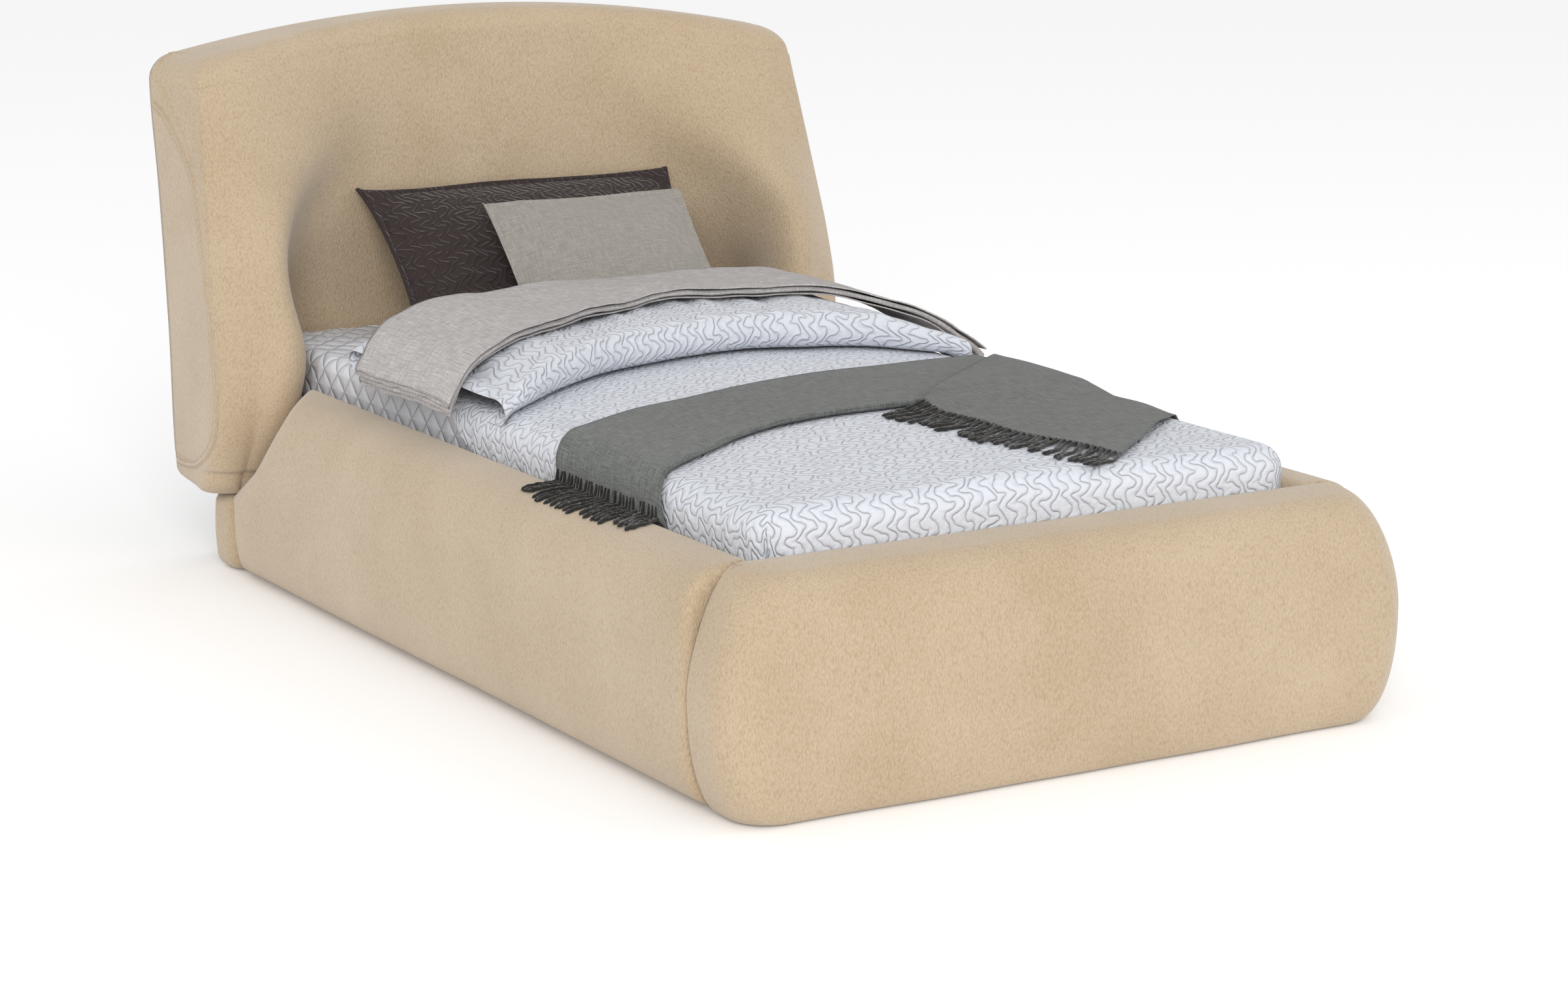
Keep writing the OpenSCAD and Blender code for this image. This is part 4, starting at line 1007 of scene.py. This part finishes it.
def buildCoverlet(c):
    # one sheet along the bed: up the foot end, over the top to the head, turned over a
    # round fold and back to a puffed front roll whose hem is tucked under
    r = bed["shoulder"]
    reach = bed["half"] - r + r * np.pi / 2 + c["sideDrop"] - r
    s = np.linspace(-reach, reach, int(2 * reach / c["step"]))
    foldY = smoothCurve(s, c["foldX"], c["foldY"], 15)
    rf = c["footR"]
    flatLen = c["headY"] - bed["footY"] - rf
    lowLen = c["footDrop"] - rf + rf * np.pi / 2 + flatLen
    q = np.linspace(0, 1, int(lowLen / c["step"]))[:, None]
    along = q * lowLen - (c["footDrop"] - rf)
    arc = np.clip(along / rf, 0, np.pi / 2)
    y = bed["footY"] + rf * (1 - np.cos(arc)) + np.maximum(along - rf * np.pi / 2, 0)
    dropY = rf * (1 - np.sin(arc)) - np.minimum(along, 0)
    draw = c["draw"] * np.clip(y / 0.14, 0, 1) ** 2
    sGrid = s[None, :] * (1 - draw)
    x, dropX = shoulder(sGrid, bed["half"], r)
    x = x + 0 * y
    corner = np.minimum(np.clip((np.abs(x) - bed["half"] + 0.07) / 0.07, 0, 1),
                        np.clip((bed["footY"] + 0.07 - y) / 0.07, 0, 1))
    x = x - np.sign(x) * c["cornerPull"] * corner ** 2
    yy = y + c["cornerPull"] * corner ** 2 + 0 * x
    hang = np.maximum(dropX, dropY)
    z = bed["top"] - hang + bedPuff(x, yy)
    sag = np.clip(hang / 0.05, 0, 1) * np.clip(dropX / 0.03, 0, 1)
    x = x + np.sign(x) * sag * (0.0015 + ripple(yy, z, 31, 5, 0.05, 0.14, 0.0012))
    lower = np.stack([x, yy, z], -1)
    # turned-back layer: up round the head fold, forward, down round the front roll
    rise, gap = c["rise"], c["rollGap"]
    middle = foldY[None, :] + c["rollHalf"]
    a = np.linspace(-np.pi / 2, np.pi / 2, 16)[1:, None]
    over = np.linspace(0, 1, int(c["turnedBack"] / c["step"]))[1:, None]
    b = np.linspace(np.pi / 2, 3 * np.pi / 2, 16)[1:, None]
    tuck = np.linspace(0, 1, 7)[1:, None]
    uy = np.concatenate([c["headY"] + rise / 2 * np.cos(a) + 0 * middle,
                         c["headY"] + (middle - c["headY"]) * over,
                         middle + c["rollHalf"] * np.cos(b), middle + c["hem"] * tuck])
    lift = np.concatenate([rise / 2 * (1 + np.sin(a)), rise + 0 * over,
                           gap + (rise - gap) / 2 * (1 + np.sin(b)), gap + 0 * tuck]) + 0 * uy
    us = s[None, :] + 0 * uy
    fold = np.clip(lift / rise, 0, 1)
    lift = lift * sinkAtEdges(us, c["sink"])
    gather = ripple(us * 2.2, uy * 0.6, 41, 8, 0.07, 0.2, 0.0026) * fold
    us = us * (1 - c["draw"])
    bodyPts = overBed(us, uy, np.maximum(lift + gather, 0.003))
    points = np.concatenate([lower, bodyPts], 0)
    vStep = runLength(points[:, points.shape[1] // 2])
    uv = np.stack([s[None, :] + 0 * vStep[:, None], vStep[:, None] + 0 * s[None, :]], -1)
    piece = makePiece("coverlet_cloth", [gridPart(points, uv)], "coverletCotton",
                      "mattress_set", ["coverlet"], outward=False,
                      weld=1e-7)
    faceOut(piece, (0, 0, 1))


blanket = {"x": (-0.575, -0.52, -0.40, -0.264, 0.0, 0.097, 0.334, 0.461, 0.53, 0.56),
           "front": (0.03, 0.06, 0.13, 0.225, 0.360, 0.388, 0.358, 0.228, 0.040, 0.02),
           "back": (0.42, 0.45, 0.53, 0.57, 0.61, 0.61, 0.59, 0.49, 0.20, 0.12),
           "layers": 4, "gap": 0.0060, "lift": 0.080, "leftEnd": -0.553, "rightEnd": 0.560,
           "thick": 0.0024, "sink": (0.34, 0.18, 0.52, 1.7)}


def buildBlanket(b):
    # a band folded in layers: the cloth runs front to back and back to front, each turn
    # a small half circle; front and back edges follow their own curves across the bed
    s = np.linspace(b["leftEnd"], b["rightEnd"], 140)
    front, back = (smoothCurve(s, b["x"], b[edge], 17) for edge in ("front", "back"))
    rows = []
    for k in range(b["layers"]):
        t = np.linspace(0, 1, 34)
        if k % 2:
            t = t[::-1]
        inset = 0.003 * (b["layers"] - 1 - k)
        rows += [(q, k * b["gap"], inset, 0.0) for q in t]
        if k < b["layers"] - 1:
            way = 1 if t[-1] > 0.5 else -1
            rows += [(t[-1], (k + 0.5 + 0.5 * np.sin(w)) * b["gap"], inset,
                      way * b["gap"] / 2 * np.cos(w))
                     for w in np.linspace(-np.pi / 2, np.pi / 2, 7)[1:-1]]
    rows = np.array(rows)
    q, lift, inset, bow = (rows[:, i][:, None] for i in range(4))
    y = (front + inset) * (1 - q) + (back - inset) * q + bow
    sGrid = s[None, :] + 0 * y
    base = b["lift"] * sinkAtEdges(sGrid, b["sink"])
    wave = (ripple(sGrid, y, 51, 6, 0.12, 0.35, 0.0022)
            + ripple(sGrid, y + lift * 9, 52, 5, 0.06, 0.12, 0.0007))
    points = overBed(sGrid, y, base + lift + wave)
    vStep = runLength(points[:, len(s) // 2])
    uv = np.stack([sGrid, vStep[:, None] + 0 * sGrid], -1)
    piece = makePiece("blanket_cloth", [gridPart(points, uv)], "slubLinen", "mattress_set",
                      ["blanket"], outward=False, weld=1e-7)
    thicken(piece, b["thick"])


throw = {"s": (-0.565, -0.50, -0.40, -0.20, 0.0, 0.20, 0.40, 0.58),
         "front": (-0.660, -0.625, -0.555, -0.425, -0.382, -0.372, -0.350, -0.33),
         "back": (-0.310, -0.285, -0.235, -0.160, -0.100, -0.066, -0.043, -0.022),
         "doubled": 0.0085, "lift": 0.0045, "cloth": 0.0018, "leftEnd": -0.565,
         "rightEnd": 0.545, "flat": (0.66, 1.50),
         "foldLine": ((0.545, -0.030), (0.560, -0.20), (0.535, -0.42), (0.492, -0.628)),
         "fringeLine": ((0.128, -0.395), (0.128, -0.56), (0.146, -0.73), (0.182, -0.905))}


def buildThrow(t):
    # band: cloth doubled along its front fold, a flat loop as its section; end flap: a
    # ruled sheet from the fold at the right to the fringed edge, its height easing down
    s = np.linspace(t["leftEnd"], t["rightEnd"], 130)
    front, back = (smoothCurve(s, t["s"], t[edge], 13) for edge in ("front", "back"))
    half = t["doubled"] / 2
    across = np.linspace(1, 0, 30)
    a = np.linspace(-np.pi / 2, np.pi / 2, 8)[1:-1]
    q = np.concatenate([across, np.zeros(len(a)), across[::-1]])[:, None]
    bow = np.concatenate([0 * across, -half * np.cos(a), 0 * across])[:, None]
    level = np.concatenate([0 * across, half * (1 + np.sin(a)), 0 * across + 2 * half])[:, None]
    y = front * (1 - q) + back * q + bow
    sGrid = s[None, :] + 0 * y
    wave = 0.0016 + ripple(sGrid * 0.7, y, 61, 6, 0.08, 0.22, 0.0011)
    points = overBed(sGrid, y, t["lift"] + level + np.maximum(wave, 0))
    around = runLength(points[:, 60])
    uv = np.stack([sGrid, around[:, None] + 0 * sGrid], -1)
    # the flap, ruled from the fold line to the fringed edge
    u = np.linspace(0, 1, 60)[:, None]
    v = np.linspace(0, 1, 60)[None, :]
    corners = np.concatenate([np.array(t["foldLine"]).T, np.array(t["fringeLine"]).T])
    rough = [np.interp(v[0], np.linspace(0, 1, 4), row) for row in corners]
    fx, fy, gx, gy = (np.convolve(np.pad(row, 8, "reflect", reflect_type="odd"),
                                  np.ones(17) / 17, "valid")[None, :] for row in rough)
    flapS = fx * (1 - u) + gx * u
    flapY = fy * (1 - u) + gy * u
    overBand = np.clip(1 - (np.abs(flapY + 0.20) - 0.16) / 0.10, 0, 1)
    rise = 0.004 + 0.015 * overBand + 0.004 * np.sin(np.pi * u) \
        + np.maximum(ripple(flapS, flapY, 71, 6, 0.10, 0.30, 0.0022), -0.003)
    flap = overBed(flapS, flapY, t["lift"] + rise)
    flapUv = np.stack([0.7 + flapS, flapY], -1)
    # the fold itself: a small half turn from the band's end up to the flap
    w = np.linspace(-np.pi / 2, np.pi / 2, 8)[:, None]
    turn = overBed(fx + 0.006 * np.cos(w), fy + 0 * w,
                   t["lift"] + (rise[:1] * (1 + np.sin(w)) / 2))
    turnUv = np.stack([0.69 + 0.006 * w + 0 * fx, fy + 0 * w], -1)
    piece = makePiece("throw_cloth", [gridPart(points, uv), gridPart(flap, flapUv),
                                      gridPart(turn, turnUv)],
                      "twillWool", "mattress_set", ["throw"], outward=False,
                      weld=1e-7)
    thicken(piece, t["cloth"])
    return piece, points[len(across) + len(a):, 0][::-1], flap[-1]


yarn = {"radius": 0.0028, "tip": 0.0008, "rings": 18, "sides": 8, "lobes": 2, "twist": 14.0,
        "uneven": (0.85, 1.12), "bend": 0.010, "sink": 2.6, "knot": (0.75, 0.86, 0.045),
        "neck": (0.25, 0.80, 0.03)}


def yarnParts(starts, ways, length, seed, ground, y):
    # plied strands: each runs from its start along its own way, sinks to the ground within
    # a few centimetres, wanders a little sideways, thickens at its knot and frays at the tip
    r = np.random.default_rng(seed)
    parts = []
    q = np.linspace(0, 1, y["rings"])
    knot, neck = (share * np.exp(-((q - at) / wide) ** 2)
                  for share, at, wide in (y["knot"], y["neck"]))
    for p0, way in zip(starts, ways):
        size = length * r.uniform(*y["uneven"])
        sideways = np.array([-way[1], way[0], 0.0])
        bend = r.normal(0, y["bend"])
        path = p0 + way * size * q[:, None] \
            + sideways * (bend * q ** 2 + 0.003 * np.sin(q * 7 + r.uniform(0, 6)))[:, None]
        level = ground(path[:, 0], path[:, 1]) + y["radius"] + 0.002 * r.random()
        drop = np.clip(q * y["sink"], 0, 1)
        path[:, 2] = p0[2] * (1 - drop) + level * drop
        path[:, 2] = np.maximum(path[:, 2], level)
        radius = y["radius"] * (1 + knot - neck)
        radius[-1] = y["tip"]
        tube = sweepTube(path, radius, y["sides"], lobes=y["lobes"], twist=y["twist"])
        parts.append(gridPart(tube, wrapCols=True))
    return parts


def bedGround(x, y):
    r = bed["shoulder"]
    a = np.clip((np.abs(x) - (bed["half"] - r)) / r, 0, 1)
    return bed["top"] - r * (1 - np.sqrt(1 - a ** 2)) + bedPuff(x, y)


def railGround(x, y):
    # top of the left rail beyond the mattress, and the coverlet's side before it
    c = np.clip((np.abs(x) - rail["innerX"]) / rail["thick"], 0, 0.999)
    onRail = 0.192 + 0.189 * (1 - c ** 4) ** 0.25
    return np.where(np.abs(x) > 0.512, onRail, np.maximum(onRail, 0.40))


fringe = {
    "left": {"count": 30, "inset": 0.01, "way": (-0.9950372, -0.0995037, 0.0),
             "fan": (0.10, -0.30), "length": 0.074, "seed": 81, "ground": railGround},
    "right": {"count": 44, "inset": 0.005, "way": (-1.0, -0.12, 0.0),
              "fan": (-0.05, -0.55), "length": 0.092, "seed": 82, "ground": bedGround},
}


def fringeParts(edge, f):
    # strands at even steps along the edge, their directions fanned out from the way
    at = np.linspace(f["inset"], 1 - f["inset"], f["count"])
    idx = np.linspace(0, 1, len(edge))
    starts = np.stack([np.interp(at, idx, edge[:, k]) for k in range(3)], -1)
    fan = np.linspace(*f["fan"], f["count"])[:, None]
    ways = unit(np.array(f["way"]) + np.concatenate([0 * fan, fan, 0 * fan], 1))
    return yarnParts(starts, ways, f["length"], f["seed"], f["ground"], yarn)


buildPad(padCloth)
buildCoverlet(coverlet)
buildBlanket(blanket)
throwPiece, throwLeft, throwEdge = buildThrow(throw)
strands = fringeParts(throwLeft, fringe["left"]) + fringeParts(throwEdge, fringe["right"])
fringePiece = makePiece("throw_fringe", strands, "fringeYarn", "mattress_set",
                        outward=False)
print("bedding built")

# ---- cushions
cushions = {
    "sham_dark": {"wide": 0.660, "tall": 0.370, "thick": 0.120, "pinch": 0.060,
                  "place": (0.030, 0.8100, 0.5690), "lean": 45.0,
                  "finish": "shamSatin", "slot": "sham_satin", "node": "pillow_dark",
                  "body": "dark_pillow", "piping": 0.0032, "seed": 3},
    "cushion_light": {"wide": 0.420, "tall": 0.305, "thick": 0.110, "pinch": 0.055,
                      "place": (0.087, 0.6600, 0.5720), "lean": 46.0,
                      "finish": "cushionLinen", "slot": "cushion_linen",
                      "node": "pillow_light", "body": "light_pillow", "piping": 0.0,
                      "seed": 4},
}


def buildCushion(name, c):
    # two crowned faces over a rectangle whose sides pull in between the corners: the
    # thickness falls to nothing along the seam, and short creases run in from it
    rows, cols = 44, 68
    v = np.sin(np.linspace(-1, 1, rows) * np.pi / 2)[:, None]
    u = np.sin(np.linspace(-1, 1, cols) * np.pi / 2)[None, :]
    x = c["wide"] / 2 * u * (1 - c["pinch"] * (1 - v ** 2)) + 0 * v
    y = c["tall"] / 2 * v * (1 - c["pinch"] * 1.3 * (1 - u ** 2)) + 0 * u
    crown = np.maximum((1 - np.abs(u) ** 2.4) * (1 - np.abs(v) ** 2.4), 0) ** 0.72
    crease = 1 + 0.05 * ripple(x * 1.4, y * 1.4, c["seed"], 6, 0.05, 0.14, 1.0) * (1 - crown)
    z = c["thick"] / 2 * crown * crease
    faces = [np.stack([x, y, z], -1), np.stack([x[:, ::-1], y, -z[:, ::-1]], -1)]
    lean, place = math.radians(c["lean"]), np.array(c["place"])
    turn = np.array([[1, 0, 0], [0, math.cos(lean), -math.sin(lean)],
                     [0, math.sin(lean), math.cos(lean)]])
    order = np.zeros((rows, cols))
    edge = [(0, j) for j in range(cols - 1)] + [(i, cols - 1) for i in range(rows - 1)]
    edge += [(rows - 1, j) for j in range(cols - 1, 0, -1)]
    edge += [(i, 0) for i in range(rows - 1, 0, -1)]
    ei = np.array(edge)
    order[ei[:, 0], ei[:, 1]] = np.arange(1, len(edge) + 1)
    marks = np.concatenate([order.ravel(), order[:, ::-1].ravel()])
    parts = [gridPart(side @ turn.T + place, np.stack([x, y], -1)) for side in faces]
    parts[1]["uv"] = np.stack([x[:, ::-1], y + 0.7], -1)
    piece = makePiece(name, parts, c["finish"], c["body"], [c["node"]],
                      weld=1e-5, marks=marks)
    swellCushion(piece, swell)
    if c["piping"]:
        mark = np.empty(len(piece.data.vertices), np.float32)
        piece.data.attributes["border"].data.foreach_get("value", mark)
        index = np.argsort(mark)[np.count_nonzero(mark < 0.5):]
        path = readPoints(piece.data)[index].astype(float)
        path = path[np.linalg.norm(path - np.roll(path, 1, 0), axis=1) > 1e-4]
        cordPts = sweepTube(path, c["piping"], 8, closed=True, up=turn[:, 2])
        makePiece(name + "_piping", [gridPart(cordPts, wrapRows=True, wrapCols=True)],
                  c["finish"], c["body"])


swell = {"pressure": 2.0, "tension": 18.0, "compression": 12.0, "bending": 0.4,
         "shrink": -0.02, "steps": 15, "furthest": 0.009}


def swellCushion(piece, s):
    # cloth blown up a little from inside, no point moved further than the furthest allowed
    scene = bpy.context.scene
    mesh = piece.data
    before = readPoints(mesh)
    cloth = piece.modifiers.new("swell", "CLOTH")
    cloth.settings.use_pressure = True
    cloth.settings.uniform_pressure_force = s["pressure"]
    cloth.settings.effector_weights.gravity = 0.0
    cloth.settings.quality = 6
    cloth.settings.tension_stiffness = s["tension"]
    cloth.settings.compression_stiffness = s["compression"]
    cloth.settings.bending_stiffness = s["bending"]
    cloth.settings.shrink_min = s["shrink"]
    cloth.collision_settings.use_collision = False
    for step in range(1, s["steps"] + 1):
        scene.frame_set(step)
    shown = piece.evaluated_get(bpy.context.evaluated_depsgraph_get())
    move = readPoints(shown.data) - before
    piece.modifiers.remove(cloth)
    scene.frame_set(1)
    far = np.linalg.norm(move, axis=1, keepdims=True)
    move *= np.minimum(1, s["furthest"] / np.maximum(far, 1e-9))
    mesh.vertices.foreach_set("co", (before + move).ravel())
    mesh.update()


for cushionName, cushion in cushions.items():
    buildCushion(cushionName, cushion)
print("cushions built")

# ---- finishes of the carried-over frame and hardware
frameFinish = {
    "backCloth": ["head_back_panel"],
    "pineTimber": ["head_stile_left", "head_stile_right", "head_top_rail", "head_mid_rail",
                   "head_bottom_rail", "slat_ledge_left", "slat_ledge_right", "centre_beam"],
    "birchPly": ["wing_former_left", "wing_former_right", "head_leg_left", "head_leg_right",
                 "rail_board_left", "rail_board_right", "footboard_board"]
    + ["slat_%d" % i for i in range(1, 12)],
    "zincSteel": ["foot_bracket_left", "foot_bracket_right", "head_bracket_left",
                  "head_bracket_right", "beam_cradle_foot", "beam_cradle_head",
                  "wood_screws"],
    "blackSteel": ["frame_bolts"] + ["centre_leg_%d" % i for i in range(1, 4)],
    "brass": ["frame_inserts"], "glidePlastic": ["floor_glides"],
    "webbing": ["slat_webbing"],
    "footPlastic": ["levelling_foot_%d" % i for i in range(1, 4)],
}
for finishName, nodeNames in frameFinish.items():
    for nodeName in nodeNames:
        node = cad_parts[nodeName]
        if not node.material_slots:
            node.data.materials.append(finishes[finishName])
        for place in node.material_slots:
            place.material = finishes[finishName]
print("frame finished")
